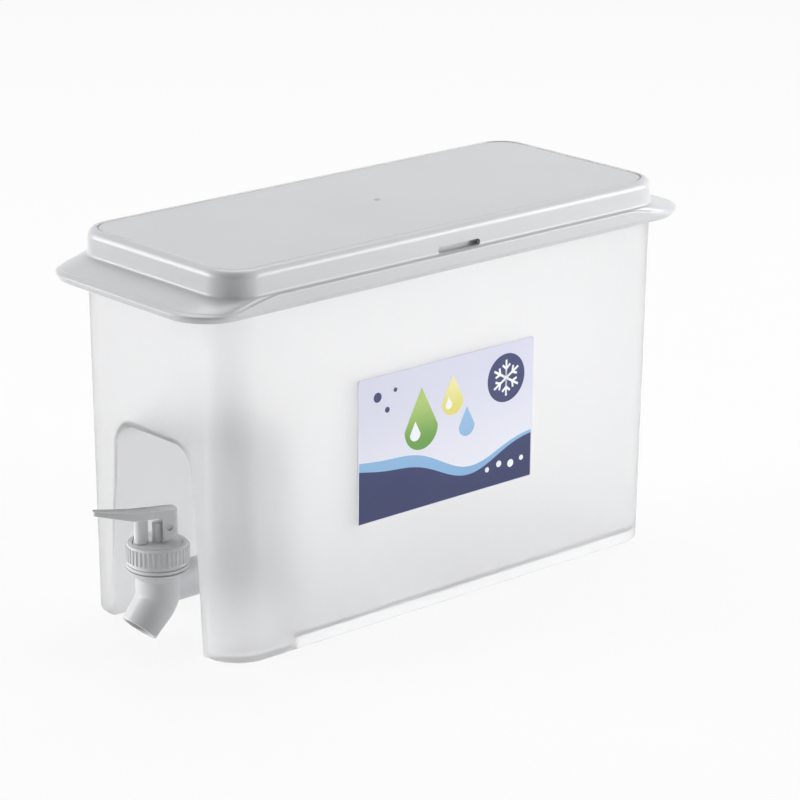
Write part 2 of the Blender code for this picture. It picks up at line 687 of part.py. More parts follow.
def ribbed_ring(radius, depth, z):
    """Gives a ring whose points step in and out as flat-topped ribs."""
    points = []
    count = BONNET_RIBS * BONNET_RIB_POINTS
    for index in range(count):
        angle = 2 * math.pi * index / count
        raised = index % BONNET_RIB_POINTS < BONNET_RIB_POINTS / 2
        reach = radius if raised else radius - depth
        points.append(Vector((reach * math.cos(angle), TAP_Y + reach * math.sin(angle), z)))
    return points


def make_bonnet(parent):
    """Makes the bonnet: a ribbed collar with a plate, a recess for the washer and a boss for the spring."""
    groove = BONNET_FOOT + BONNET_BAND
    rib_foot = BONNET_FOOT + BONNET_RIB_FOOT
    inner = SHOULDER_RADIUS - BONNET_RIB_DEPTH
    outside = [
        ribbed_ring(inner + GAP, 0, BONNET_FOOT),
        ribbed_ring(inner + GAP, 0, groove),
        ribbed_ring(inner - BONNET_GROOVE_DEPTH, 0, groove),
        ribbed_ring(inner - BONNET_GROOVE_DEPTH, 0, groove + BONNET_GROOVE),
        ribbed_ring(inner + GAP, 0, groove + BONNET_GROOVE),
        ribbed_ring(inner, 0, rib_foot),
        ribbed_ring(SHOULDER_RADIUS, BONNET_RIB_DEPTH, rib_foot + BONNET_RIB_DEPTH),
        ribbed_ring(SHOULDER_RADIUS, BONNET_RIB_DEPTH, BONNET_TOP - BONNET_CHAMFER),
        ribbed_ring(inner, 0, BONNET_TOP - BONNET_CHAMFER / 2),
        ribbed_ring(inner - BONNET_CHAMFER / 2, 0, BONNET_TOP),
    ]
    bonnet = add_object("bonnet", loft(outside), parent, TAP_WHITE)
    thread = NECK_RADIUS + GAP
    hollow = [(thread, BONNET_FOOT - OVERRUN), (thread, PLATE_UNDER), (BONNET_BOSS_RADIUS, PLATE_UNDER)]
    hollow += [(BONNET_BOSS_RADIUS, BOSS_UNDER), (SEAL_POCKET_RADIUS, BOSS_UNDER), (SEAL_POCKET_RADIUS, PLATE_UNDER)]
    hollow += [(STEM_RADIUS + STEM_CLEARANCE, PLATE_UNDER), (STEM_RADIUS + STEM_CLEARANCE, RECESS_Z)]
    hollow += [(BONNET_RECESS_RADIUS, RECESS_Z), (BONNET_RECESS_RADIUS, BONNET_TOP + OVERRUN)]
    hollow_bm = lifted(turned(hollow, ROUND_STEPS, False), (0, TAP_Y, 0))
    cut(bonnet, add_object("bonnet_hollow_guide", hollow_bm, parent))


def washer(name, inner, outer, low, high, parent, finish):
    """Makes a flat ring about the tap's upright axis."""
    profile = [(inner, low), (outer, low), (outer, high), (inner, high)]
    return add_object(name, lifted(turned(profile, ROUND_STEPS, True), (0, TAP_Y, 0)), parent, finish)


def wall_washer(name, start, thickness, parent):
    """Makes a silicone washer about the shank's axis."""
    profile = [(TAIL_BORE, 0), (GASKET_RADIUS, 0), (GASKET_RADIUS, thickness), (TAIL_BORE, thickness)]
    add_object(name, laid_along_y(turned(profile, ROUND_STEPS, True), start, SHANK_HEIGHT), parent, SILICONE)


def make_seals(parent):
    """Makes the seals of the bonnet, the stem and the tank's wall."""
    seal_low = NECK_TOP + GAP
    washer("bonnet_seal", BONNET_SEAL_BORE, NECK_RADIUS, seal_low, seal_low + BONNET_SEAL_THICKNESS, parent, SILICONE)
    wire = STEM_SEAL_WIRE
    middle = (STEM_RADIUS + GAP + wire, PLATE_UNDER - GAP - wire)
    profile = arc(middle, wire, 0, 360, SMALL_ROUND_STEPS // 2)[:-1]
    ring_bm = lifted(turned(profile, SMALL_ROUND_STEPS, True), (0, TAP_Y, 0))
    add_object("stem_seal", ring_bm, parent, SILICONE)
    wall_washer("outer_gasket", ALCOVE_BACK_Y - GAP - OUTER_GASKET_THICKNESS, OUTER_GASKET_THICKNESS, parent)
    wall_washer("inner_gasket", WALL_REAR_Y + GAP, INNER_GASKET_THICKNESS, parent)


def make_lock_nut(parent):
    """Makes the nut on the tail, a ring with six grip wings."""
    start = WALL_REAR_Y + GAP + INNER_GASKET_THICKNESS + GAP
    points = []
    for wing in range(NUT_WINGS):
        middle = 2 * math.pi * wing / NUT_WINGS
        for radius in (NUT_RADIUS, NUT_RADIUS + NUT_WING_REACH):
            spread = NUT_WING_WIDTH / 2 / radius
            points.append((radius, middle - spread))
        for radius in (NUT_RADIUS + NUT_WING_REACH, NUT_RADIUS):
            spread = NUT_WING_WIDTH / 2 / radius
            points.append((radius, middle + spread))
        points.append((NUT_RADIUS, middle + math.pi / NUT_WINGS))
    outline = [(radius * math.cos(angle), radius * math.sin(angle)) for radius, angle in points]
    nut_bm = laid_along_y(prism(outline, 0, NUT_THICKNESS), start, SHANK_HEIGHT)
    nut = add_object("lock_nut", nut_bm, parent, TAP_WHITE)
    bore = turned([(TAIL_BORE, -OVERRUN), (TAIL_BORE, NUT_THICKNESS + OVERRUN)], ROUND_STEPS, False)
    cut(nut, add_object("nut_bore_guide", laid_along_y(bore, start, SHANK_HEIGHT), parent))


def spring_points():
    """Gives the spring's centre line: a close curl at each end and even curls between."""
    low = STEM_FLANGE_TOP + GAP + SPRING_WIRE_RADIUS
    high = BOSS_UNDER - GAP - SPRING_WIRE_RADIUS
    inner_rise = high - low - 2 * SPRING_END_CURLS * SPRING_END_PITCH
    inner_curls = SPRING_CURLS - 2 * SPRING_END_CURLS
    points = []
    for index in range(SPRING_CURLS * SPRING_CURL_POINTS + 1):
        curl = index / SPRING_CURL_POINTS
        first = min(curl, SPRING_END_CURLS)
        last = max(curl - (SPRING_CURLS - SPRING_END_CURLS), 0)
        middle = curl - first - last
        z = low + (first + last) * SPRING_END_PITCH + middle * inner_rise / inner_curls
        angle = 2 * math.pi * curl
        points.append(Vector((SPRING_RADIUS * math.cos(angle), SPRING_RADIUS * math.sin(angle), z)))
    return points


def least_gap(points):
    """Gives the least free gap of the spring's wire to itself, measured on points over half a curl apart."""
    apart = SPRING_CURL_POINTS // 2
    pairs = [(a, b) for i, a in enumerate(points) for b in points[i + apart:]]
    return min((a - b).length for a, b in pairs) - 2 * SPRING_WIRE_RADIUS


def make_spring(parent):
    """Makes the spring as one unbroken wire."""
    points = spring_points()
    print("least gap of the spring to itself, mm:", round(least_gap(points) * 1000, 2))
    curve = bpy.data.curves.new("spring", "CURVE")
    curve.dimensions = "3D"
    curve.bevel_depth = SPRING_WIRE_RADIUS
    curve.bevel_resolution = 1
    curve.use_fill_caps = True
    spline = curve.splines.new("POLY")
    spline.points.add(len(points) - 1)
    for place, point in zip(spline.points, points):
        place.co = (*point, 1.0)
    spring = bpy.data.objects.new("spring", curve)
    bpy.context.collection.objects.link(spring)
    spring.location = (0, TAP_Y, 0)
    spring.parent = parent
    curve.materials.append(finish_material("spring", STEEL))
    weld = spring.modifiers.new("Weld", "WELD")
    weld.merge_threshold = MERGE


def make_stem(parent):
    """Makes the stem: tip, flange, round shaft and the eye behind its head. Its origin is on the tap's axis."""
    profile = [
        (STEM_TIP_RADIUS, STEM_FLANGE_FOOT - STEM_TIP_LENGTH),
        (STEM_TIP_RADIUS, STEM_FLANGE_FOOT),
        (STEM_FLANGE_RADIUS, STEM_FLANGE_FOOT),
        (STEM_FLANGE_RADIUS, STEM_FLANGE_TOP),
        (STEM_RADIUS, STEM_FLANGE_TOP),
        (STEM_RADIUS, STEM_TOP),
    ]
    stem = add_object("stem", turned(profile, SMALL_ROUND_STEPS, False), parent, TAP_WHITE)
    eye = arc((PIN_SETBACK, PIN_HEIGHT), EYE_RADIUS, 90, -90, SMALL_ROUND_STEPS // 2)
    inside_shaft = STEM_RADIUS / 2
    eye += [(inside_shaft, PIN_HEIGHT - EYE_RADIUS), (inside_shaft, STEM_TOP - GAP), (STEM_RADIUS, PIN_HEIGHT + EYE_RADIUS)]
    join(stem, add_object("eye_guide", side_prism(eye, EYE_HALF_WIDTH), parent))
    cut(stem, add_object("eye_hole_guide", pin_cylinder(PIN_RADIUS + PIN_CLEARANCE, LEVER_HALF_WIDTH * 2), parent))


def pin_cylinder(radius, half_length):
    """Gives a cylinder across X at the pin's place."""
    rings = []
    for x in (-half_length, half_length):
        points = arc((PIN_SETBACK, PIN_HEIGHT), radius, 0, 360, SMALL_ROUND_STEPS)[:-1]
        rings.append([Vector((x, y, z)) for y, z in points])
    return loft(rings)


def make_plug(parent):
    """Makes the silicone plug: a disc with a nose in the seat's hole and a socket for the stem's tip."""
    profile = [
        (PLUG_NOSE_RADIUS - PLUG_NOSE_LENGTH / 2, PLUG_FOOT - PLUG_NOSE_LENGTH),
        (PLUG_NOSE_RADIUS, PLUG_FOOT),
        (PLUG_RADIUS, PLUG_FOOT),
        (PLUG_RADIUS, PLUG_TOP),
        (STEM_TIP_RADIUS + GAP, PLUG_TOP),
        (STEM_TIP_RADIUS + GAP, STEM_FLANGE_FOOT - STEM_TIP_LENGTH - GAP),
    ]
    add_object("seat_plug", turned(profile, SMALL_ROUND_STEPS, False), parent, SILICONE)


def lever_outline(inset):
    """Gives the lever's plan: a straight head with rounded rear corners and a tapering tongue."""
    half = LEVER_HALF_WIDTH - inset
    tip_half = LEVER_TIP_HALF_WIDTH - inset
    rear = LEVER_REAR - inset
    tip = LEVER_REACH - inset
    rear_round = LEVER_REAR_ROUND - inset
    tip_round = tip_half * LEVER_TIP_ROUND_SHARE
    right = [(tip_half, -tip + tip_round), (half, -LEVER_SHOULDER)]
    right += arc((half - rear_round, rear - rear_round), rear_round, 0, 90, LEVER_ARC_STEPS)
    right.insert(0, (tip_half - tip_round, -tip))
    left = [(-x, y) for x, y in reversed(right)]
    return right + left


def tongue_rise(y):
    """Gives how far the tongue has risen at a distance ahead of the axis, as a share of its length."""
    share = (-y - LEVER_SHOULDER) / (LEVER_REACH - LEVER_SHOULDER)
    return max(share, 0)


def lever_ring(inset, drop, thin):
    """Gives the lever's plan at a depth below its top. A thin of 1 follows the tongue's thinner underside."""
    thinning = (LEVER_PLATE - LEVER_TIP_THICKNESS) * thin
    points = []
    for x, y in lever_outline(inset):
        share = tongue_rise(y)
        points.append(Vector((x, y, LEVER_TOP - drop + share * (LEVER_TIP_RISE + thinning))))
    return points


def make_lever(parent):
    """Makes the lever: plate with a raised rim, two cheeks, a front foot and the pin's holes."""
    edge = LEVER_RIM / 4
    rings = [
        lever_ring(edge, LEVER_PLATE, 1),
        lever_ring(0, LEVER_PLATE - edge, 1),
        lever_ring(0, edge, 0),
        lever_ring(edge, 0, 0),
        lever_ring(LEVER_RIM, 0, 0),
        lever_ring(LEVER_RIM + edge, LEVER_RECESS, 0),
    ]
    plate = loft(rings)
    points = list(plate.verts)
    count = len(rings[0])
    for first in (0, len(points) - count):
        pair = [points[first + SHOULDER_STEPS], points[first + count - 1 - SHOULDER_STEPS]]
        bmesh.ops.connect_verts(plate, verts=pair)
    lever = add_object("lever", plate, parent, TAP_WHITE)
    inside_plate = LEVER_UNDER + LEVER_PLATE / 3
    heel = LEVER_FOOT_Z + CHEEK_HEEL_RISE
    rear = LEVER_REAR
    cheek = [(-CHEEK_FRONT, LEVER_FOOT_Z + GAP), (rear, heel), (rear, inside_plate), (-CHEEK_FRONT, inside_plate)]
    cheeks = add_object("cheeks_guide", side_prism(cheek, LEVER_HALF_WIDTH * 2), parent)
    plan = prism(lever_outline(MERGE * 3), LEVER_FOOT_Z - OVERRUN, LEVER_TOP + OVERRUN)
    limit(cheeks, add_object("head_plan_guide", plan, parent))
    slot_low = (-SLOT_HALF_WIDTH, -CHEEK_FRONT - OVERRUN, LEVER_FOOT_Z - OVERRUN)
    slot_high = (SLOT_HALF_WIDTH, rear + OVERRUN, LEVER_UNDER - GAP)
    cut(cheeks, add_object("slot_between_cheeks_guide", block(slot_low, slot_high), parent))
    join(lever, cheeks)
    foot = turned([(LEVER_FOOT_RADIUS, LEVER_FOOT_Z), (LEVER_FOOT_RADIUS, inside_plate)], SMALL_ROUND_STEPS, False)
    join(lever, add_object("foot_guide", lifted(foot, (0, -LEVER_FOOT_AHEAD, 0)), parent))
    cut(lever, add_object("pin_hole_guide", pin_cylinder(PIN_RADIUS + PIN_CLEARANCE, LEVER_HALF_WIDTH * 2), parent))


def make_pin(parent):
    """Makes the pin through the cheeks and the eye."""
    add_object("lever_pin", pin_cylinder(PIN_RADIUS, LEVER_HALF_WIDTH - PIN_SINK), parent, TAP_WHITE)


def main():
    """Builds the jug in its frame, with the tap's moving pieces under empties on their axes."""
    clear_scene()
    frame = empty("frame", (0, CENTRE_Y, 0))
    make_container(frame)
    make_lid(frame)
    make_label(frame)
    make_tap_body(frame)
    make_bonnet(frame)
    make_seals(frame)
    make_lock_nut(frame)
    make_spring(frame)
    swivel = empty("swivel_axis", (0, TAP_Y, 0), LEVER_YAW, frame)
    profile_low = WASHER_FOOT
    bore = STEM_RADIUS + STEM_CLEARANCE
    outer = BONNET_RECESS_RADIUS - GAP
    profile = [(bore, profile_low), (outer, profile_low), (outer, profile_low + WASHER_THICKNESS)]
    profile.append((bore, profile_low + WASHER_THICKNESS))
    add_object("slip_washer", turned(profile, ROUND_STEPS, True), swivel, TAP_WHITE)
    make_stem(swivel)
    make_plug(swivel)
    make_lever(swivel)
    make_pin(swivel)
    bpy.context.view_layer.update()


main()
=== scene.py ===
"""Looks of the fridge water jug: milky tank, grey lid with ears, printed label and the press tap."""

import logging
import math
from collections.abc import Callable, Iterable
from dataclasses import dataclass, field
from enum import Enum

import bmesh
import bpy
from mathutils import Matrix, Vector


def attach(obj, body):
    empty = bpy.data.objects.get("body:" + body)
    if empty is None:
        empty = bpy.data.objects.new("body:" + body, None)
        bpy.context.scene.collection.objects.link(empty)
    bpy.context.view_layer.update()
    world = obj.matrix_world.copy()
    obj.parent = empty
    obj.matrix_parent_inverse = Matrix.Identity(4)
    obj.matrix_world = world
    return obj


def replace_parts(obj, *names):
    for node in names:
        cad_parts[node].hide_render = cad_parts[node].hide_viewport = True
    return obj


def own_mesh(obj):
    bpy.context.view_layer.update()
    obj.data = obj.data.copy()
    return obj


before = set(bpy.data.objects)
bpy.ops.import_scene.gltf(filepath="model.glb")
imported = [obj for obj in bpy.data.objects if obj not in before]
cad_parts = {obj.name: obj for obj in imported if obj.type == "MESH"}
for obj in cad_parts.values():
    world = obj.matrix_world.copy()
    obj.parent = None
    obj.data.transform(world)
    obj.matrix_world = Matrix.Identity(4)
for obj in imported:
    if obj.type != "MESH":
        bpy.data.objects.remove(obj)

LOG = logging.getLogger("jug")
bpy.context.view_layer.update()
Piece = bpy.types.Object
Socket = bpy.types.NodeSocket
Pair = tuple[float, float]
Triple = tuple[float, float, float]
Colour = Triple
Line = Callable[[float], float]
Inputs = dict[str | int, object]
Sockets = Iterable[tuple]


# Selection and mode helpers


def deselect_all() -> None:
    """Leaves object mode's selection empty."""
    if bpy.context.object and bpy.context.object.mode != "OBJECT":
        bpy.ops.object.mode_set(mode="OBJECT")
    bpy.ops.object.select_all(action="DESELECT")


def make_active(piece: Piece) -> None:
    """Selects one piece alone and makes it active."""
    deselect_all()
    piece.select_set(True)
    bpy.context.view_layer.objects.active = piece


def edit(piece: Piece) -> None:
    """Opens a piece in edit mode with nothing selected."""
    make_active(piece)
    bpy.ops.object.mode_set(mode="EDIT")
    bpy.ops.mesh.select_all(action="DESELECT")


def leave_edit() -> None:
    """Goes back to object mode."""
    bpy.ops.object.mode_set(mode="OBJECT")


class Part(Enum):
    """The parts of a mesh that can be selected: the select mode, and the bmesh list that holds them."""

    POINTS = ("VERT", "verts")
    EDGES = ("EDGE", "edges")
    FACES = ("FACE", "faces")


def select(piece: Piece, part: Part, wanted: Callable[[object], bool]) -> None:
    """Selects, in edit mode, the parts of one kind for which wanted is true.

    Args:
        piece: the piece that is open in edit mode.
        part: the kind of part.
        wanted: says whether a part is taken.
    """
    mode, elements = part.value
    bpy.ops.mesh.select_mode(type=mode)
    bpy.ops.mesh.select_all(action="DESELECT")
    shape = bmesh.from_edit_mesh(piece.data)
    for item in getattr(shape, elements):
        item.select_set(wanted(item))
    if part is Part.POINTS:
        shape.select_flush(True)
    bmesh.update_edit_mesh(piece.data)


def select_edges(piece: Piece, wanted: Callable[[Vector], bool]) -> None:
    """Selects, in edit mode, the edges whose two ends are both at a wanted place."""
    select(piece, Part.EDGES, lambda edge: all(wanted(point.co) for point in edge.verts))


def select_points(piece: Piece, wanted: Callable[[Vector], bool]) -> None:
    """Selects, in edit mode, the vertices whose place is wanted."""
    select(piece, Part.POINTS, lambda point: wanted(point.co))


def set_place(piece: Piece) -> None:
    """Puts a piece's place, turn and scale in its mesh."""
    make_active(piece)
    bpy.ops.object.transform_apply(location=True, rotation=True, scale=True)


def put(piece: Piece, place: Vector, turn: Triple = (0.0, 0.0, 0.0)) -> Piece:
    """Turns a piece, moves it, and puts both in its mesh.

    Args:
        piece: a piece whose own place is the origin.
        place: where it goes.
        turn: its turn about X, Y and Z.

    Returns:
        The same piece.
    """
    piece.rotation_euler = turn
    piece.location = place
    set_place(piece)
    return piece


def joined(pieces: list[Piece]) -> Piece:
    """Joins several pieces into the first one."""
    deselect_all()
    for piece in pieces:
        piece.select_set(True)
    bpy.context.view_layer.objects.active = pieces[0]
    bpy.ops.object.join()
    return pieces[0]


def apply_new(piece: Piece, kind: str, **settings: object) -> None:
    """Gives a piece a modifier and applies it.

    Args:
        piece: the piece that changes.
        kind: the modifier's type.
        **settings: its settings by name.
    """
    modifier = piece.modifiers.new(kind, kind)
    for name, value in settings.items():
        setattr(modifier, name, value)
    make_active(piece)
    bpy.ops.object.modifier_apply(modifier=modifier.name)


def settle(piece: Piece, name: str, body: str, finish: "Finishes") -> Piece:
    """Puts a piece's place in its mesh, names it, dresses it and lets it ride on a body.

    Args:
        piece: the finished piece.
        name: its name in the table.
        body: the body that it moves with.
        finish: its finish.

    Returns:
        The same piece.
    """
    set_place(piece)
    piece.name = name
    piece.data.name = name
    piece.data.materials.clear()
    piece.data.materials.append(Palette.get(finish))
    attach(piece, body)
    LOG.info("%s: %d faces, rides on %s", name, len(piece.data.polygons), body)
    return piece


def dress(node: str, finish: "Finishes") -> None:
    """Gives a carried-over CAD node its finish."""
    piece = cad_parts[node]
    piece.data.materials.clear()
    piece.data.materials.append(Palette.get(finish))
    LOG.info("%s: carried over, %d faces", node, len(piece.data.polygons))


# Shaping helpers

CENTRE_Y = 0.0032356
TAP_Y = -0.1197644
MERGE = 0.00001


def turn_outwards() -> None:
    """Turns all faces of the open piece outwards."""
    bpy.ops.mesh.select_all(action="SELECT")
    bpy.ops.mesh.normals_make_consistent(inside=False)


def merge_points(piece: Piece) -> None:
    """Merges doubled points and turns all faces outwards."""
    edit(piece)
    bpy.ops.mesh.select_all(action="SELECT")
    bpy.ops.mesh.remove_doubles(threshold=MERGE)
    turn_outwards()
    leave_edit()


def boolean(piece: Piece, tool: Piece, operation: str = "DIFFERENCE") -> None:
    """Cuts a tool out of a piece, or joins it to the piece, and takes the tool away.

    Args:
        piece: the piece that changes.
        tool: the other form.
        operation: the boolean modifier's operation.
    """
    apply_new(piece, "BOOLEAN", operation=operation, solver="EXACT", object=tool)
    bpy.data.objects.remove(tool, do_unlink=True)


def round_edges(piece: Piece, width: float, steps: int, angle: float = 40.0) -> None:
    """Rounds every edge that is sharper than an angle.

    Args:
        piece: the piece to round.
        width: the rounding's width.
        steps: its segments.
        angle: the least angle of an edge, in degrees.
    """
    shape = {"width": width, "segments": steps, "limit_method": "ANGLE", "angle_limit": math.radians(angle)}
    apply_new(piece, "BEVEL", **shape, use_clamp_overlap=True, miter_outer="MITER_ARC")


def shade(piece: Piece, angle: float = 32.0) -> None:
    """Shades a piece smooth up to an angle, with its large faces kept flat."""
    make_active(piece)
    bpy.ops.object.shade_smooth_by_angle(angle=math.radians(angle))
    apply_new(piece, "WEIGHTED_NORMAL", keep_sharp=True)


def add_box(low: Vector, high: Vector) -> Piece:
    """Adds a box between two corners, with its place in its mesh."""
    deselect_all()
    low, high = Vector(low), Vector(high)
    bpy.ops.mesh.primitive_cube_add(size=1.0, location=(low + high) / 2)
    box = bpy.context.object
    box.scale = high - low
    set_place(box)
    return box


def side_box(side: int, near: float, far: float, width: float, low: float, high: float) -> Piece:
    """Adds a box on one long side, in the middle of the jug's length.

    Args:
        side: -1 or 1.
        near: its distance from the middle plane.
        far: where it ends outwards.
        width: its size along the jug.
        low: its foot.
        high: its top.

    Returns:
        The box.
    """
    left, right = sorted((side * near, side * far))
    return add_box((left, CENTRE_Y - width / 2, low), (right, CENTRE_Y + width / 2, high))


def rod(radius: float, low: float, high: float, edge: float) -> list[Pair]:
    """Gives the profile of a round rod between two heights, with its two edges cut off."""
    return [(radius - edge, low), (radius, low + edge), (radius, high - edge), (radius - edge, high)]


def washer(bore: float, radius: float, low: float, high: float, edge: float) -> list[Pair]:
    """Gives the closed profile of a washer between two heights, with its outer edges cut off."""
    return [(bore, low), *rod(radius, low, high, edge), (bore, high)]


def bevel_points(radius: float, steps: int) -> None:
    """Rounds the selected corners of an open face in edit mode."""
    bpy.ops.mesh.bevel(affect="VERTICES", offset=radius, segments=steps)


def bevel_edges(radius: float, steps: int) -> None:
    """Rounds the selected edges in edit mode."""
    bpy.ops.mesh.bevel(affect="EDGES", offset=radius, segments=steps)


def tagged(index: int) -> str:
    """Gives the name of a ring's point group."""
    return f"ring{index:03d}"


def skin(name: str, rings: list[Piece], spread: float = 0.0) -> Piece:
    """Bridges each ring of points to the next, and closes both ends.

    Args:
        name: the new piece's name.
        rings: rings with equal counts, in order.
        spread: how far the rings stand apart in height while they are bridged, so that rings at one height
            can't be taken the wrong way round; 0 leaves them where they are.

    Returns:
        The closed piece.
    """
    heights = {}
    for index, item in enumerate(rings):
        group = item.vertex_groups.new(name=tagged(index))
        group.add(list(range(len(item.data.vertices))), 1.0, "REPLACE")
        heights[tagged(index)] = iter([point.co.z for point in item.data.vertices])
        for point in item.data.vertices if spread else ():
            point.co.z = spread * index
    piece = joined(rings)
    piece.name = name
    edit(piece)
    bpy.ops.mesh.select_mode(type="VERT")
    last = len(rings) - 1
    steps = [(index, index + 1) for index in range(last)]
    for pair in (*steps, (0,), (last,)):
        bpy.ops.mesh.select_all(action="DESELECT")
        for index in pair:
            piece.vertex_groups.active_index = piece.vertex_groups[tagged(index)].index
            bpy.ops.object.vertex_group_select()
        if len(pair) == 2:
            bpy.ops.mesh.bridge_edge_loops()
        else:
            bpy.ops.mesh.edge_face_add()
    leave_edit()
    for point in piece.data.vertices if spread else ():
        point.co.z = next(heights[piece.vertex_groups[point.groups[0].group].name])
    piece.vertex_groups.clear()
    edit(piece)
    turn_outwards()
    leave_edit()
    return piece


@dataclass(frozen=True)
class Outline:
    """A rounded rectangle at one height, whose ends may fall below it."""

    half_x: float
    half_y: float
    radius: float
    height: float
    fall: float = 0.0

    def moved_in(self, inset: float, rise: float = 0.0) -> "Outline":
        """Gives the same outline moved in by an inset and up by a rise."""
        sizes = (self.half_x - inset, self.half_y - inset, self.radius - inset)
        return Outline(*sizes, self.height + rise, self.fall)

    def ring(self, corner_steps: int, cuts: int = 0, fall: Line | None = None) -> Piece:
        """Adds the outline as a ring of points.

        Args:
            corner_steps: segments of a rounded corner.
            cuts: cuts along each long side.
            fall: gives how far a point lies below the height, by its distance along Y.

        Returns:
            The ring.
        """
        deselect_all()
        bpy.ops.mesh.primitive_plane_add(size=2.0, location=(0.0, 0.0, self.height))
        item = bpy.context.object
        item.scale = (self.half_x, self.half_y, 1.0)
        set_place(item)
        bpy.ops.object.mode_set(mode="EDIT")
        bpy.ops.mesh.select_all(action="SELECT")
        bevel_points(self.radius, corner_steps)
        bpy.ops.mesh.select_all(action="SELECT")
        bpy.ops.mesh.delete(type="ONLY_FACE")
        if cuts:
            side, least = self.half_x - MERGE, self.half_y
            select(item, Part.EDGES, lambda edge: edge.calc_length() > least and abs(edge.verts[0].co.x) > side)
            bpy.ops.mesh.subdivide(number_cuts=cuts)
        leave_edit()
        if fall and self.fall:
            for point in item.data.vertices:
                point.co.z -= self.fall * fall(point.co.y)
        return put(item, (0.0, CENTRE_Y, 0.0))


def quarter(start: Outline, inset: float, rise: float, steps: int, convex: bool = True) -> list[Outline]:
    """Gives the outlines of a rounded edge that leads in and up (or down) from an outline.

    Args:
        start: the outline before the edge.
        inset: how far the edge leads in; below zero it leads out.
        rise: how far it leads up; below zero it leads down.
        steps: number of outlines.
        convex: whether it leaves upright and arrives level, or the other way round.

    Returns:
        The outlines after the start.
    """
    found = []
    for step in range(1, steps + 1):
        angle = math.pi / 2 * step / steps
        across, up = 1 - math.cos(angle), math.sin(angle)
        if not convex:
            across, up = math.sin(angle), 1 - math.cos(angle)
        found.append(start.moved_in(inset * across, rise * up))
    return found


def turned(name: str, profile: list[Pair], closed: bool, steps: int = 64) -> Piece:
    """Traces a profile with the extrude operator and spins it about Z.

    Args:
        name: the new piece's name.
        profile: points as radius and height.
        closed: whether the profile closes on itself and leaves a bore.
        steps: steps of the round.

    Returns:
        The turned piece, at the origin.
    """
    path = list(profile) if closed else [(0.0, profile[0][1]), *profile, (0.0, profile[-1][1])]
    path = [Vector((radius, 0.0, height)) for radius, height in path]
    deselect_all()
    bpy.ops.mesh.primitive_plane_add(size=0.01, location=(0.0, 0.0, 0.0))
    piece = bpy.context.object
    piece.name = name
    edit(piece)
    select_points(piece, lambda place: place.x > 0 or place.y > 0)
    bpy.ops.mesh.delete(type="VERT")
    bpy.ops.mesh.select_all(action="SELECT")
    here = Vector((-0.005, -0.005, 0.0))
    for index, there in enumerate(path):
        if index:
            bpy.ops.mesh.extrude_region_move(TRANSFORM_OT_translate={"value": there - here})
        else:
            bpy.ops.transform.translate(value=there - here)
        here = there
    if closed:
        select_points(piece, lambda place: min((place - path[0]).length, (place - path[-1]).length) < MERGE)
        bpy.ops.mesh.edge_face_add()
    bpy.ops.mesh.select_all(action="SELECT")
    bpy.ops.mesh.spin(steps=steps, angle=2 * math.pi, center=(0, 0, 0), axis=(0, 0, 1), use_auto_merge=True)
    leave_edit()
    merge_points(piece)
    return piece


def laid_back(piece: Piece, y: float, z: float) -> Piece:
    """Turns a piece that was made about Z so that it leads to +Y, and moves it on the tap's plane."""
    return put(piece, (0.0, y, z), (-math.pi / 2, 0.0, 0.0))


# Shader node groups


class NodeSheet:
    """A node tree that is filled by short calls."""

    def __init__(self, tree: bpy.types.NodeTree) -> None:
        """Keeps the tree that the calls add to."""
        self.tree = tree

    def feed(self, node: bpy.types.Node, inputs: Inputs) -> None:
        """Feeds a node's inputs.

        Args:
            node: the node.
            inputs: for each input an output that it is linked to, or its value; a colour is given without
                its opacity.
        """
        for key, value in inputs.items():
            target = node.inputs[key]
            if isinstance(value, Socket):
                self.tree.links.new(value, target)
            else:
                target.default_value = (*value, 1.0) if target.type == "RGBA" else value

    def add(self, kind: str, inputs: Inputs | None = None, **settings: object) -> bpy.types.Node:
        """Adds a node, sets its properties and feeds its inputs.

        Args:
            kind: the node's type name.
            inputs: what its inputs are fed with.
            **settings: properties by name.

        Returns:
            The new node.
        """
        node = self.tree.nodes.new(kind)
        for name, value in settings.items():
            setattr(node, name, value)
        self.feed(node, inputs or {})
        return node

    def group(self, tree: bpy.types.NodeTree, inputs: Inputs) -> bpy.types.NodeOutputs:
        """Adds a shader group and gives its outputs."""
        return self.add("ShaderNodeGroup", inputs, node_tree=tree).outputs

    def mixed(self, share: object, first: object, second: object) -> Socket:
        """Adds a mix of two colours and gives its output."""
        return self.add("ShaderNodeMix", {0: share, 6: first, 7: second}, data_type="RGBA").outputs[2]

    def smooth(self, value: object, low: object, high: object) -> Socket:
        """Adds a smooth step from 0 at a low value to 1 at a high one, and gives its output."""
        inputs = {"Value": value, "From Min": low, "From Max": high}
        return self.add("ShaderNodeMapRange", inputs, interpolation_type="SMOOTHSTEP").outputs["Result"]

    def maths(self, operation: str, first: object, second: object, third: object = 0.0) -> Socket:
        """Adds a Math node and gives its output.

        Args:
            operation: the Math node's operation.
            first: first input, as an output or a number.
            second: second input.
            third: third input.

        Returns:
            The node's output.
        """
        return self.add("ShaderNodeMath", {0: first, 1: second, 2: third}, operation=operation).outputs[0]


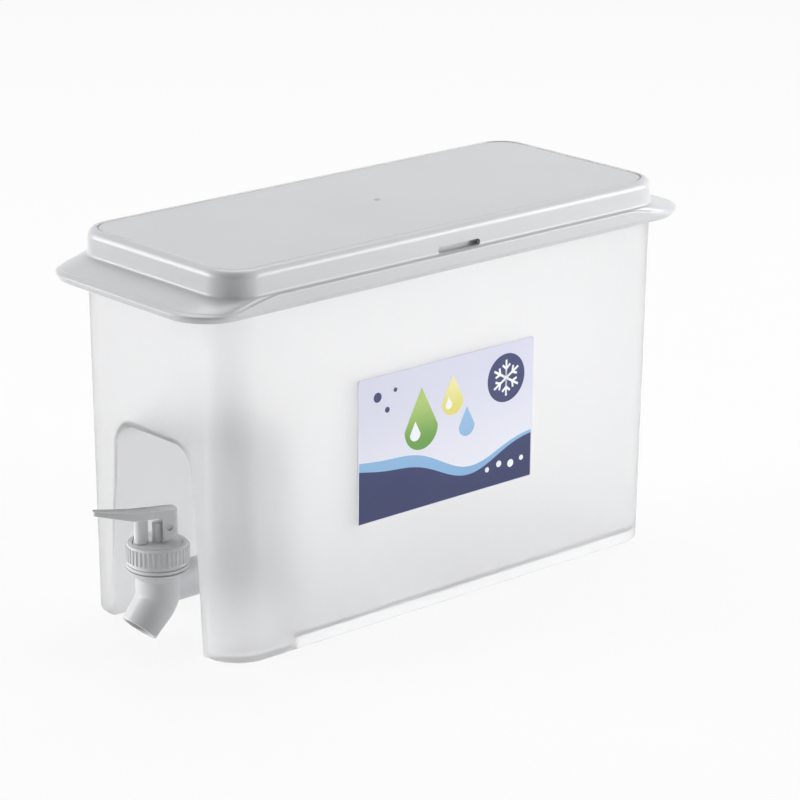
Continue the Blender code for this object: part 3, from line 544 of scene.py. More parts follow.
def new_group(name: str, inputs: Sockets, outputs: Sockets) -> tuple:
    """Makes an empty shader group with named sockets.

    Args:
        name: the group's name.
        inputs: name, socket type and default value of each input.
        outputs: name and socket type of each output.

    Returns:
        The group, its sheet, what its inputs give inside, and its output node.
    """
    group = bpy.data.node_groups.new(name, "ShaderNodeTree")
    for label, kind, value in inputs:
        socket = group.interface.new_socket(label, in_out="INPUT", socket_type=kind)
        if value is not None:
            socket.default_value = value
    for label, kind in outputs:
        group.interface.new_socket(label, in_out="OUTPUT", socket_type=kind)
    sheet = NodeSheet(group)
    return group, sheet, sheet.add("NodeGroupInput").outputs, sheet.add("NodeGroupOutput")


def new_material(name: str) -> tuple[bpy.types.Material, NodeSheet, bpy.types.Node, Socket]:
    """Makes a material.

    Args:
        name: its name.

    Returns:
        The material, its sheet, its shader, and the output that gives the place on the object.
    """
    material = bpy.data.materials.new(name)
    material.use_nodes = True
    sheet = NodeSheet(material.node_tree)
    place = sheet.add("ShaderNodeTexCoord").outputs["Object"]
    return material, sheet, material.node_tree.nodes["Principled BSDF"], place


VECTOR, FLOAT, COLOUR = "NodeSocketVector", "NodeSocketFloat", "NodeSocketColor"


def moulded_grain_group() -> bpy.types.NodeTree:
    """Makes the fine texture of a moulded surface: a low ripple and a finer sparkle, as one height."""
    sizes = [("Grain per metre", FLOAT, 900.0), ("Ripple per metre", FLOAT, 60.0), ("Ripple share", FLOAT, 0.5)]
    inputs = [("Place", VECTOR, None), *sizes]
    group, sheet, given, result = new_group("moulded grain", inputs, [("Height", FLOAT)])
    noises = []
    for scale, detail in (("Grain per metre", 2.0), ("Ripple per metre", 1.0)):
        inputs = {"Vector": given["Place"], "Scale": given[scale], "Detail": detail}
        noises.append(sheet.add("ShaderNodeTexNoise", inputs).outputs["Fac"])
    mix = sheet.add("ShaderNodeMix", {0: given["Ripple share"], 2: noises[0], 3: noises[1]}, data_type="FLOAT")
    sheet.feed(result, {"Height": mix.outputs[0]})
    return group


def clouding_group() -> bpy.types.NodeTree:
    """Makes the slow unevenness of milky plastic: a mask that wanders between 0 and 1, and fine specks."""
    sizes = [("Clouds per metre", FLOAT, 14.0), ("Specks per metre", FLOAT, 400.0)]
    outputs = [("Clouds", FLOAT), ("Specks", FLOAT)]
    group, sheet, given, result = new_group("clouding", [("Place", VECTOR, None), *sizes], outputs)
    inputs = {"Vector": given["Place"], "Scale": given["Clouds per metre"], "Detail": 3.0, "Roughness": 0.45}
    clouds = sheet.add("ShaderNodeTexNoise", inputs).outputs["Fac"]
    inputs = {"Vector": given["Place"], "Scale": given["Specks per metre"]}
    specks = sheet.add("ShaderNodeTexVoronoi", inputs, feature="F1").outputs["Distance"]
    sheet.feed(result, {"Clouds": sheet.smooth(clouds, 0.3, 0.7), "Specks": sheet.smooth(specks, 0.0, 0.25)})
    return group


def level_tint_group() -> bpy.types.NodeTree:
    """Makes a colour that changes with height between two levels."""
    levels = [("Low level", FLOAT, 0.0), ("High level", FLOAT, 0.1)]
    colours = [("Low colour", COLOUR, (0.8, 0.8, 0.8, 1.0)), ("High colour", COLOUR, (0.9, 0.9, 0.9, 1.0))]
    inputs = [("Place", VECTOR, None), *levels, *colours]
    group, sheet, given, result = new_group("level tint", inputs, [("Colour", COLOUR)])
    height = sheet.add("ShaderNodeSeparateXYZ", {0: given["Place"]}).outputs["Z"]
    share = sheet.smooth(height, given["Low level"], given["High level"])
    sheet.feed(result, {"Colour": sheet.mixed(share, given["Low colour"], given["High colour"])})
    return group


class Groups:
    """The shader groups, each made once."""

    grain: bpy.types.NodeTree
    clouding: bpy.types.NodeTree
    level_tint: bpy.types.NodeTree

    @classmethod
    def build(cls) -> None:
        """Makes every group."""
        cls.grain = moulded_grain_group()
        cls.clouding = clouding_group()
        cls.level_tint = level_tint_group()


# Finishes


def tinted(
    sheet: NodeSheet, place: Socket, levels: Pair, colours: tuple[Colour, Colour]
) -> Socket:
    """Adds a tint by height.

    Args:
        sheet: the material's sheet.
        place: the place on the object.
        levels: the low and the high level.
        colours: the colours at the two levels.

    Returns:
        The output that gives the colour.
    """
    inputs = {"Place": place, "Low level": levels[0], "High level": levels[1]}
    inputs |= {"Low colour": colours[0], "High colour": colours[1]}
    return sheet.group(Groups.level_tint, inputs)["Colour"]


@dataclass(frozen=True)
class Plastic:
    """A moulded plastic: two close colours that cloud into each other, a tint by height that paints shade
    darkening towards the foot where a foot colour is given, grain and gloss.
    """

    name: str
    colour: Colour
    cloud_colour: Colour
    painted_foot_shade: Colour | None = None
    full_level: float = 0.001
    cloud_share: float = 0.6
    roughness: float = 0.35
    roughness_swing: float = 0.08
    transmission: float = 0.0
    ior: float = 1.49
    grain_per_metre: float = 900.0
    grain_height: float = 0.00002
    grain_strength: float = 0.25
    clouds_per_metre: float = 14.0

    def build(self) -> bpy.types.Material:
        """Makes the material.

        Returns:
            The material, with all its patterns on Object coordinates.
        """
        material, sheet, shader, place = new_material(self.name)
        spots = {"Place": place, "Clouds per metre": self.clouds_per_metre}
        clouds = sheet.group(Groups.clouding, spots)["Clouds"]
        # The tint by height paints shade: with a foot colour given, the plastic darkens towards its foot.
        tint = tinted(sheet, place, (0.0, self.full_level), (self.painted_foot_shade or self.colour, self.colour))
        low, high = self.roughness - self.roughness_swing, self.roughness + self.roughness_swing
        rough = sheet.add("ShaderNodeMapRange", {"Value": clouds, "To Min": low, "To Max": high})
        grain = sheet.group(Groups.grain, {"Place": place, "Grain per metre": self.grain_per_metre})["Height"]
        inputs = {"Strength": self.grain_strength, "Distance": self.grain_height, "Height": grain}
        bump = sheet.add("ShaderNodeBump", inputs)
        share = sheet.maths("MULTIPLY", clouds, self.cloud_share)
        sheet.feed(
            shader,
            {
                "Base Color": sheet.mixed(share, tint, self.cloud_colour),
                "Roughness": rough.outputs["Result"],
                "Normal": bump.outputs["Normal"],
                "IOR": self.ior,
                "Transmission Weight": self.transmission,
            },
        )
        return material


@dataclass(frozen=True)
class Ink:
    """Ink or film of the label: a colour that deepens with height, broken by a fine printed grain."""

    name: str
    low_colour: Colour
    high_colour: Colour
    low_level: float = 0.047
    high_level: float = 0.112
    speck_share: float = 0.12
    speck_colour: Colour = (0.9, 0.9, 0.9)
    roughness: float = 0.34
    roughness_rise: float = 0.08
    clouds_per_metre: float = 40.0
    specks_per_metre: float = 2600.0

    def build(self) -> bpy.types.Material:
        """Makes the material.

        Returns:
            The material, with its patterns on Object coordinates.
        """
        material, sheet, shader, place = new_material(self.name)
        tint = tinted(sheet, place, (self.low_level, self.high_level), (self.low_colour, self.high_colour))
        sizes = {"Clouds per metre": self.clouds_per_metre, "Specks per metre": self.specks_per_metre}
        clouds = sheet.group(Groups.clouding, {"Place": place, **sizes})
        share = sheet.maths("MULTIPLY", sheet.maths("SUBTRACT", 1.0, clouds["Specks"]), self.speck_share)
        rough = sheet.maths("MULTIPLY_ADD", clouds["Clouds"], self.roughness_rise, self.roughness)
        sheet.feed(shader, {"Base Color": sheet.mixed(share, tint, self.speck_colour), "Roughness": rough})
        return material


@dataclass(frozen=True)
class Steel:
    """Drawn spring wire: grey steel with fine, uneven dulling."""

    name: str = "spring steel"
    colour: Colour = (0.55, 0.55, 0.57)
    dull_colour: Colour = (0.42, 0.42, 0.44)
    roughness: float = 0.28
    clouds_per_metre: float = 900.0

    def build(self) -> bpy.types.Material:
        """Makes the material."""
        material, sheet, shader, place = new_material(self.name)
        spots = {"Place": place, "Clouds per metre": self.clouds_per_metre}
        clouds = sheet.group(Groups.clouding, spots)["Clouds"]
        colour = sheet.mixed(clouds, self.colour, self.dull_colour)
        sheet.feed(shader, {"Base Color": colour, "Metallic": 1.0, "Roughness": self.roughness})
        return material


class Finishes(Enum):
    """Every finish of the jug."""

    TANK = Plastic(
        "milky tank plastic",
        colour=(0.968, 0.969, 0.973),
        cloud_colour=(0.946, 0.948, 0.956),
        # The foot colour paints shade: the tank darkens towards its foot, fading out 45 mm up.
        painted_foot_shade=(0.952, 0.953, 0.962),
        full_level=0.045,
        roughness=0.50,
        roughness_swing=0.03,
        transmission=0.98,
    )
    LID = Plastic(
        "grey lid plastic",
        colour=(0.66, 0.665, 0.68),
        cloud_colour=(0.63, 0.635, 0.65),
        roughness=0.305,
        roughness_swing=0.02,
        transmission=0.12,
    )
    TAP = Plastic(
        "white tap plastic",
        colour=(0.75, 0.755, 0.765),
        cloud_colour=(0.71, 0.715, 0.725),
        roughness=0.31,
        roughness_swing=0.02,
        clouds_per_metre=60.0,
    )
    SILICONE = Plastic(
        "clear silicone",
        colour=(0.80, 0.81, 0.80),
        cloud_colour=(0.74, 0.76, 0.75),
        roughness=0.55,
        transmission=0.3,
        clouds_per_metre=120.0,
    )
    PIN = Plastic(
        "lever pin plastic",
        colour=(0.72, 0.73, 0.74),
        cloud_colour=(0.66, 0.67, 0.68),
        roughness=0.38,
        clouds_per_metre=200.0,
    )
    FILM = Ink("label film", (0.80, 0.81, 0.88), (0.66, 0.67, 0.80), speck_share=0.06)
    NAVY_INK = Ink(
        "navy ink", (0.020, 0.028, 0.110), (0.035, 0.045, 0.150), speck_colour=(0.16, 0.18, 0.32)
    )
    SKY_INK = Ink("sky ink", (0.22, 0.42, 0.68), (0.34, 0.55, 0.78))
    LEAF_INK = Ink("leaf ink", (0.13, 0.33, 0.06), (0.42, 0.58, 0.16), 0.076, 0.098)
    SUN_INK = Ink("sun ink", (0.74, 0.68, 0.16), (0.86, 0.82, 0.42), 0.086, 0.105)
    PALE_INK = Ink("pale ink", (0.82, 0.86, 0.90), (0.88, 0.90, 0.93), speck_share=0.05)
    SPRING = Steel()


class Palette:
    """The materials of the finishes, each made once."""

    made: dict[str, bpy.types.Material] = {}

    @classmethod
    def build(cls) -> None:
        """Makes every finish's material."""
        for finish in Finishes:
            cls.made[finish.name] = finish.value.build()

    @classmethod
    def get(cls, finish: Finishes) -> bpy.types.Material:
        """Gives a finish's material."""
        return cls.made[finish.name]


# Tank


@dataclass
class Tank:
    """The moulded tank: drafted walls, arched alcove, foot skirt, lugs and the hole for the tap."""

    half_x: float = 0.0518
    half_y: float = 0.1260
    draft_x: float = 0.0010
    draft_y: float = 0.0020
    corner: float = 0.0170
    wall: float = 0.0020
    rim: float = 0.1567
    rim_round: float = 0.0006
    base_round: float = 0.0014
    floor_round: float = 0.0030
    floor: float = 0.0022
    rear_floor: float = 0.0072
    foot_height: float = 0.0050
    foot_wall: float = 0.0022
    foot_start: float = -0.0880
    alcove_height: float = 0.0898
    alcove_foot: float = 0.0314
    alcove_top: float = 0.0245
    alcove_round: float = 0.0110
    alcove_back: float = -0.0768
    alcove_wall: float = 0.0022
    back_round: float = 0.0070
    mouth_round: float = 0.0018
    arch_steps: int = 12
    back_steps: int = 8
    mouth_steps: int = 5
    below: float = 0.0200
    ahead: float = 0.0300
    hole_radius: float = 0.0073
    hole_height: float = 0.0225
    lug: Vector = field(default_factory=lambda: Vector((0.0004, 0.022, 0.0010)))
    lug_top: float = 0.1545
    corner_steps: int = 16

    def outline(self, height: float, inset: float) -> Outline:
        """Gives the drafted outline at a height, moved in by an inset."""
        share = 1 - height / self.rim
        half_x = self.half_x - self.draft_x * share - inset
        half_y = self.half_y - self.draft_y * share - inset
        return Outline(half_x, half_y, self.corner - inset, height)

    def solid(self, name: str, levels: list[Pair]) -> Piece:
        """Makes a closed form through outlines given as height and inset."""
        rings = [self.outline(height, inset).ring(self.corner_steps) for height, inset in levels]
        return skin(name, rings, spread=0.02)

    def levels(self, foot: float, foot_round: float, inset: float, flare: int) -> list[Pair]:
        """Gives the heights and insets of a wall whose foot and rim are rounded.

        Args:
            foot: the height of the wall's foot.
            foot_round: the foot's rounding.
            inset: the wall's inset.
            flare: 1 if the rim's rounding leads in, -1 if it leads out.

        Returns:
            The levels, from the foot to the rim.
        """
        found = []
        for step in range(6):
            angle = math.pi / 2 * step / 5
            height = foot + foot_round * (1 - math.cos(angle))
            found.append((height, inset + foot_round * (1 - math.sin(angle))))
        for step in range(4):
            angle = math.pi / 2 * step / 3
            height = self.rim + self.rim_round * (math.sin(angle) - 1)
            found.append((height, inset + flare * self.rim_round * (1 - math.cos(angle))))
        return found

    def cavity(self) -> Piece:
        """Makes the hollow, with its rounded floor edge and rim edge."""
        levels = self.levels(self.floor, self.floor_round, self.wall, -1)
        hollow = self.solid("hollow", [*levels, (self.rim + self.wall, self.wall - self.rim_round)])
        step_y = self.foot_start - self.foot_wall + CENTRE_Y
        boolean(hollow, add_box((-0.1, step_y, -0.01), (0.1, 0.2, self.rear_floor)))
        boolean(hollow, self.alcove(self.alcove_wall))
        return hollow

    def alcove(self, grow: float) -> Piece:
        """Makes the alcove as a solid: a box whose top is narrowed and whose edges are rounded.

        Args:
            grow: how far the solid is grown by a wall.

        Returns:
            The solid.
        """
        lean = (self.alcove_foot - self.alcove_top) / self.alcove_height
        front, back = CENTRE_Y - self.half_y - self.ahead, CENTRE_Y + self.alcove_back + grow
        top = self.alcove_height + grow
        low_half = self.alcove_foot + grow + lean * self.below
        high_half = self.alcove_top + grow

        def on_top_side(edge: bmesh.types.BMEdge) -> bool:
            """Says whether an edge is one of the top's two that lead into the jug."""
            first, second = (point.co for point in edge.verts)
            return min(first.z, second.z) > top - MERGE and abs(first.x - second.x) < MERGE

        tool = add_box((-low_half, front, -self.below), (low_half, back, top))
        edit(tool)
        select_points(tool, lambda place: place.z > top - MERGE)
        bpy.ops.transform.resize(value=(high_half / low_half, 1.0, 1.0), center_override=(0.0, front, top))
        select(tool, Part.EDGES, on_top_side)
        bevel_edges((self.alcove_round + grow) * math.tan((math.pi / 2 - math.atan(lean)) / 2), self.arch_steps)
        select_edges(tool, lambda place: place.y > back - MERGE)
        bevel_edges(self.back_round, self.back_steps)
        leave_edit()
        return tool

    def recess(self) -> Piece:
        """Makes the hollow under the base, which the foot skirt bounds and which ends before the alcove."""
        base = self.outline(0.0, self.foot_wall)
        levels = (-0.002, self.foot_height)
        rings = [base.moved_in(0.0, level).ring(self.corner_steps) for level in levels]
        tool = skin("recess", rings, spread=0.02)
        edit(tool)
        bpy.ops.mesh.select_all(action="SELECT")
        cut = (0.0, self.foot_start + CENTRE_Y, 0.0)
        bpy.ops.mesh.bisect(plane_co=cut, plane_no=(0.0, 1.0, 0.0), use_fill=True, clear_inner=True)
        leave_edit()
        boolean(tool, self.alcove(self.alcove_wall))
        return tool

    def round_mouth(self, piece: Piece) -> None:
        """Rounds the edge where the alcove opens in the end wall."""
        slack = self.lug.x

        def on_mouth(place: Vector) -> bool:
            """Says whether a point is on the mouth's edge."""
            face = CENTRE_Y - self.half_y + self.draft_y * (1 - place.z / self.rim)
            inside = abs(place.x) < self.alcove_foot + slack and place.z < self.alcove_height + slack
            return inside and place.z > self.base_round - MERGE and abs(place.y - face) < slack / 4

        edit(piece)
        select_edges(piece, on_mouth)
        bevel_edges(self.mouth_round, self.mouth_steps)
        leave_edit()

    def build(self) -> Piece:
        """Makes the tank.

        Returns:
            The finished piece.
        """
        tank = self.solid("container", self.levels(0.0, self.base_round, 0.0, 1))
        boolean(tank, self.alcove(0.0))
        self.round_mouth(tank)
        boolean(tank, self.cavity())
        boolean(tank, self.recess())
        hole = turned("hole", [(self.hole_radius, -0.004), (self.hole_radius, 0.006)], False, 48)
        boolean(tank, laid_back(hole, self.alcove_back + CENTRE_Y, self.hole_height))
        lug, near, far = self.lug, self.half_x - self.wall / 2, self.half_x + self.lug.x
        for side in (-1, 1):
            boolean(tank, side_box(side, near, far, lug.y, self.lug_top - lug.z, self.lug_top), "UNION")
        merge_points(tank)
        shade(tank)
        settle(tank, "tank_shell", "jug", Finishes.TANK)
        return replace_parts(tank, "container")


# Lid


@dataclass
class Lid:
    """The moulded lid: raised crown, ledge with an ear at each end, lip, locating rib, windows and hooks.

    Each ring of the band gives how far it leads in across, along and at the corner, its height over the
    ledge, and its share of the ears' fall.
    """

    crown_x: float = 0.0525
    crown_y: float = 0.1250
    crown_corner: float = 0.0160
    crown_lean: float = 0.0003
    crown_round: float = 0.0035
    plate_step: float = 0.00022
    plate_groove: float = 0.00090
    plate_border: float = 0.0010
    plate_dip: float = 0.00003
    crown_foot: float = 0.0040
    ledge: float = 0.1586
    ledge_round: float = 0.0012
    top: float = 0.1700
    wall: float = 0.0016
    flange_x: float = 0.0547
    flange_y: float = 0.1423
    flange_corner: float = 0.0205
    flange_edge: float = 0.0006
    band: tuple[tuple[float, ...], ...] = (
        (0.00075, 0.0029, 0.0018, -0.00005, 0.85),
        (0.0009, 0.0032, 0.0020, 0.00006, 0.81),
    )
    under_fall: float = 0.84
    ear_fall: float = 0.0042
    ear_from: float = 0.0998
    ear_blend: float = 0.0280
    foot: float = 0.1510
    foot_round: float = 0.0004
    lip: float = 0.0022
    undercut: float = 0.0015
    lip_wall: float = 0.0014
    seat: float = 0.1570
    seat_x: float = 0.0521
    seat_y: float = 0.1263
    seat_corner: float = 0.0170
    rib_clearance: float = 0.0026
    rib_wall: float = 0.0014
    rib_foot: float = 0.1525
    rib_root: float = 0.0006
    window: Vector = field(default_factory=lambda: Vector((0.006, 0.024, 0.0028)))
    window_height: float = 0.1604
    hook: Vector = field(default_factory=lambda: Vector((0.0015, 0.020, 0.0010)))
    hook_foot: float = 0.1521
    web: Vector = field(default_factory=lambda: Vector((0.0008, 0.034, 0.0050)))
    web_x: float = 0.0483
    web_lift: float = 0.0005
    gate: Vector = field(default_factory=lambda: Vector((-0.002, 0.0017 + CENTRE_Y, 0.0)))
    gate_profile: tuple[tuple[float, float], ...] = (
        (0.0007, -0.0005),
        (0.0015, -0.0005),
        (0.0018, 0.0004),
        (0.0005, 0.0004),
    )
    corner_steps: int = 14
    side_cuts: int = 60

    def fall(self, y: float) -> float:
        """Gives how far the flange's top lies below the ledge at a distance along the lid."""
        share = min(max((abs(y) - self.ear_from) / self.ear_blend, 0.0), 1.0)
        return self.ear_fall * share * share * (3 - 2 * share)

    def flange(self, inset: float, height: float, fall: float = 0.0) -> Outline:
        """Gives the flange's outline, moved in by an inset."""
        start = Outline(self.flange_x, self.flange_y, self.flange_corner, height, fall)
        return start.moved_in(inset)

    def crown(self, inset: float, height: float) -> Outline:
        """Gives the crown's outline, which leans in towards the top."""
        lean = self.crown_lean * (height - self.ledge) / (self.top - self.ledge)
        return Outline(self.crown_x, self.crown_y, self.crown_corner, height).moved_in(inset + lean)

    def outside(self) -> list[Outline]:
        """Gives the outer skin's outlines, from the foot of the lip to the crown's plate."""
        low = self.flange(self.undercut, self.foot + self.foot_round)
        found = [low.moved_in(self.foot_round, -self.foot_round)]
        found += [low.moved_in(self.foot_round * 0.3, -self.foot_round * 0.7), low]
        for share, rise in ((1 / 3, 0.75), (0.0, 1.0)):
            found.append(self.flange(self.undercut * share, self.foot + self.lip * rise))
        edge = self.flange(0.0, self.ledge - self.flange_edge, 1.0)
        found += [edge, *quarter(edge, self.flange_edge, self.flange_edge, 4)]
        for across, along, corner, rise, fall in self.band:
            sizes = (self.flange_x - across, self.flange_y - along, self.flange_corner - corner)
            found.append(Outline(*sizes, self.ledge + rise, fall))
        foot = self.crown(-self.ledge_round, self.ledge)
        found += [foot, *quarter(foot, self.ledge_round, self.ledge_round, 4, convex=False)]
        shoulder = self.crown(0.0, self.top - self.crown_round)
        found += [self.crown(0.0, self.ledge + self.crown_foot), shoulder]
        found += quarter(shoulder, self.crown_round, self.crown_round, 9)
        plate = found[-1]
        groove, step = self.plate_groove, self.plate_step
        for share, depth in ((0.3, self.plate_dip), (0.5, groove), (0.95, groove), (1.3, step), (2.0, step)):
            found.append(plate.moved_in(self.plate_border * share, -depth))
        return found

    def inside(self) -> list[Outline]:
        """Gives the inner skin's outlines, from the foot of the lip round the rib to the crown's underside."""
        outlines = [self.flange(self.undercut + self.lip_wall, self.foot)]
        outlines.append(self.flange(self.lip_wall, self.foot + self.lip))
        outlines.append(self.flange(self.lip_wall, self.ledge - self.wall, self.under_fall))
        seat = Outline(self.seat_x, self.seat_y, self.seat_corner, self.seat)
        outer, inner = self.rib_clearance, self.rib_clearance + self.rib_wall
        drop = self.rib_foot - self.seat
        for inset, rise in ((0.0, 0.0), (outer, 0.0), (outer, drop), (inner, drop), (inner, self.rib_root)):
            outlines.append(seat.moved_in(inset, rise))
        outlines.append(self.crown(self.wall, self.ledge + self.rib_root / 2))
        shoulder = self.crown(self.wall, self.top - self.wall - self.crown_round)
        return [*outlines, shoulder, *quarter(shoulder, self.crown_round, self.crown_round, 6)]

    def cut_window(self, lid: Piece, side: int) -> None:
        """Cuts the slot window with rounded ends over the hook on one long side."""
        place = Vector((side * self.crown_x, CENTRE_Y, self.window_height))
        tool = add_box(place - self.window / 2, place + self.window / 2)
        half = self.window.x / 2
        edit(tool)
        select(tool, Part.EDGES, lambda edge: abs(edge.verts[0].co.x - edge.verts[1].co.x) > half)
        bevel_edges(self.window.z / 2 * 0.98, 8)
        leave_edit()
        boolean(lid, tool)

    def long_side(self, lid: Piece, side: int) -> None:
        """Makes one long side: its window, its hook, and the web on the rib's shelf that hides the inside.

        Args:
            lid: the lid.
            side: -1 or 1.
        """
        self.cut_window(lid, side)
        hook, foot = self.hook, self.hook_foot
        boolean(lid, side_box(side, self.crown_x, self.crown_x + hook.x, hook.y, foot, foot + hook.z), "UNION")
        web, low = self.web, self.seat + self.web_lift
        boolean(lid, side_box(side, self.web_x, self.web_x + web.x, web.y, low, self.seat + web.z), "UNION")

    def cut_gate(self, lid: Piece) -> None:
        """Cuts the moulding gate's mark in the plate: a small ring groove round a nub."""
        top = self.top - self.plate_step
        profile = [(radius, top + rise) for radius, rise in self.gate_profile]
        boolean(lid, put(turned("gate", profile, True, 40), self.gate))

    def build(self) -> Piece:
        """Makes the lid.

        Returns:
            The finished piece.
        """
        outlines = [*reversed(self.outside()), *self.inside()]
        rings = [item.ring(self.corner_steps, self.side_cuts, self.fall) for item in outlines]
        lid = skin("lid_shell", rings, spread=0.02)
        for side in (-1, 1):
            self.long_side(lid, side)
        self.cut_gate(lid)
        merge_points(lid)
        shade(lid, 28.0)
        settle(lid, "lid_shell", "lid", Finishes.LID)
        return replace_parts(lid, "lid")


# Label


@dataclass
class Label:
    """The printed sticker: a film sheet with a wave, drops and a frost star in thin layers of ink."""

    length: float = 0.1015
    height: float = 0.0645
    thickness: float = 0.0003
    foot: float = 0.0473
    offset: float = -0.0055
    wall_x: float = 0.051308
    gap: float = 0.0003
    lean: float = math.atan(0.0010 / 0.1567)
    ink: float = 0.00004
    corner: float = 0.0012

    def lay(self, piece: Piece, name: str, finish: "Finishes", level: int) -> Piece:
        """Stands a motif, drawn flat in the label's own plane, on the label's face.

        Args:
            piece: the motif, drawn with its across along X and its up along Y.
            name: its name in the table.
            finish: its ink.
            level: how many layers of ink lie under it.

        Returns:
            The finished motif.
        """
        apply_new(piece, "SOLIDIFY", thickness=self.ink if level else self.thickness, offset=1.0)
        face = self.gap + self.thickness + self.ink * (level - 1) if level else self.gap
        upright = Matrix(((0, 0, 1, 0), (1, 0, 0, 0), (0, 1, 0, 0), (0, 0, 0, 1)))
        lift = Matrix.Translation(Vector((0.0, 0.0, face)))
        turn = Matrix.Rotation(self.lean, 4, "Y")
        middle = (self.wall_x, self.offset + CENTRE_Y, self.foot + self.height / 2)
        piece.matrix_world = Matrix.Translation(middle) @ turn @ upright @ lift
        bpy.context.view_layer.update()
        set_place(piece)
        merge_points(piece)
        shade(piece)
        return settle(piece, name, "jug", finish)

    def sheet(self) -> Piece:
        """Makes the film sheet with its rounded corners."""
        deselect_all()
        bpy.ops.mesh.primitive_plane_add(size=1.0, location=(0.0, 0.0, 0.0))
        piece = bpy.context.object
        piece.scale = (self.length, self.height, 1.0)
        set_place(piece)
        bpy.ops.object.mode_set(mode="EDIT")
        bpy.ops.mesh.select_all(action="SELECT")
        bevel_points(self.corner, 5)
        leave_edit()
        piece = self.lay(piece, "label_film", Finishes.FILM, 0)
        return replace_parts(piece, "label")

    def wave(self, name: str, finish: "Finishes", crest: Line, floor: Line) -> None:
        """Makes a band between two wavy lines, from a grid whose rows are moved to the lines."""
        deselect_all()
        border = self.corner / 2
        bpy.ops.mesh.primitive_grid_add(x_subdivisions=72, y_subdivisions=1, size=1.0)
        piece = bpy.context.object
        half = self.length / 2 - border
        for point in piece.data.vertices:
            across = point.co.x * 2
            line = crest if point.co.y > 0 else floor
            point.co.x = across * half
            point.co.y = max(line(across), border - self.height / 2)
        self.lay(piece, name, finish, 1)

    def spot(self, name: str, finish: "Finishes", place: Pair, radius: float, level: int = 1) -> None:
        """Makes a round dot, or a water drop whose upper part is drawn up to a point.

        Args:
            name: its name in the table, which says whether it is a drop.
            finish: its ink.
            place: its place on the label, across and up.
            radius: its radius.
            level: how many layers lie under its ink.
        """
        deselect_all()
        is_drop = "drop" in name
        bpy.ops.mesh.primitive_circle_add(vertices=56 if is_drop else 48, radius=radius, fill_type="NGON")
        piece = bpy.context.object
        for point in piece.data.vertices:
            if is_drop:
                share = min(max(point.co.y / radius, 0.0), 1.0)
                point.co.x *= (1 - share) ** 0.55
                point.co.y += radius * 0.95 * share**1.6
            point.co.x += place[0]
            point.co.y += place[1]
        self.lay(piece, name, finish, level)

    def star(self, name: str, finish: "Finishes", place: Pair, radius: float) -> None:
        """Makes a frost star: one arm with two twigs, copied six times round its middle."""
        bars = []
        width = radius * 0.13
        for turn in range(6):
            for start, lean, length in ((0.0, 0.0, 1.0), (0.5, 50.0, 0.36), (0.5, -50.0, 0.36)):
                deselect_all()
                bpy.ops.mesh.primitive_plane_add(size=1.0, location=(0.0, 0.0, 0.0))
                bar = bpy.context.object
                for step in (
                    Matrix.Translation((0.0, 0.5, 0.0)),
                    Matrix.Diagonal((width, radius * length, 1.0, 1.0)),
                    Matrix.Rotation(math.radians(lean), 4, "Z"),
                    Matrix.Translation((0.0, radius * start, 0.0)),
                    Matrix.Rotation(math.radians(60 * turn), 4, "Z"),
                    Matrix.Translation((*place, self.ink * 0.02 * len(bars))),
                ):
                    bar.data.transform(step)
                bars.append(bar)
        self.lay(joined(bars), name, finish, 2)

    def build(self) -> None:
        """Makes the sheet and its print."""
        self.sheet()

        def deep(across: float) -> float:
            """Gives the dark wave's crest."""
            return -0.0145 - 0.0068 * math.sin(2.6 * across + 0.9) - 0.0018 * math.sin(6.1 * across)

        def light(across: float) -> float:
            """Gives the light wave's crest."""
            return deep(across) + 0.0034 + 0.0020 * math.sin(2.2 * across + 2.4)

        self.wave("label_wave_light", Finishes.SKY_INK, light, deep)
        self.wave("label_wave_deep", Finishes.NAVY_INK, deep, lambda across: -self.height / 2)
        self.spot("label_drop_green", Finishes.LEAF_INK, (-0.0150, 0.0040), 0.0095)
        self.spot("label_drop_green_glint", Finishes.PALE_INK, (-0.0185, 0.0020), 0.0030, 2)
        self.spot("label_drop_yellow", Finishes.SUN_INK, (0.0030, 0.0125), 0.0062)
        self.spot("label_drop_yellow_glint", Finishes.PALE_INK, (0.0008, 0.0112), 0.0019, 2)
        self.spot("label_drop_blue", Finishes.SKY_INK, (0.0115, -0.0005), 0.0046)
        self.spot("label_disc", Finishes.NAVY_INK, (0.0345, 0.0165), 0.0110)
        self.star("label_frost_star", Finishes.PALE_INK, (0.0345, 0.0165), 0.0082)
        dots = ((-0.0400, 0.0230, 0.0022), (-0.0345, 0.0165, 0.0013), (-0.0300, 0.0245, 0.0010))
        for index, (across, up, radius) in enumerate(dots):
            self.spot(f"label_dot_{index}", Finishes.NAVY_INK, (across, up), radius)
        for index, across in enumerate((0.0240, 0.0310, 0.0380, 0.0445)):
            place, radius = (across, -0.0235 + 0.0012 * (index % 2)), 0.0012 + 0.0003 * (index % 3)
            self.spot(f"label_bubble_{index}", Finishes.PALE_INK, place, radius, 2)


# Tap


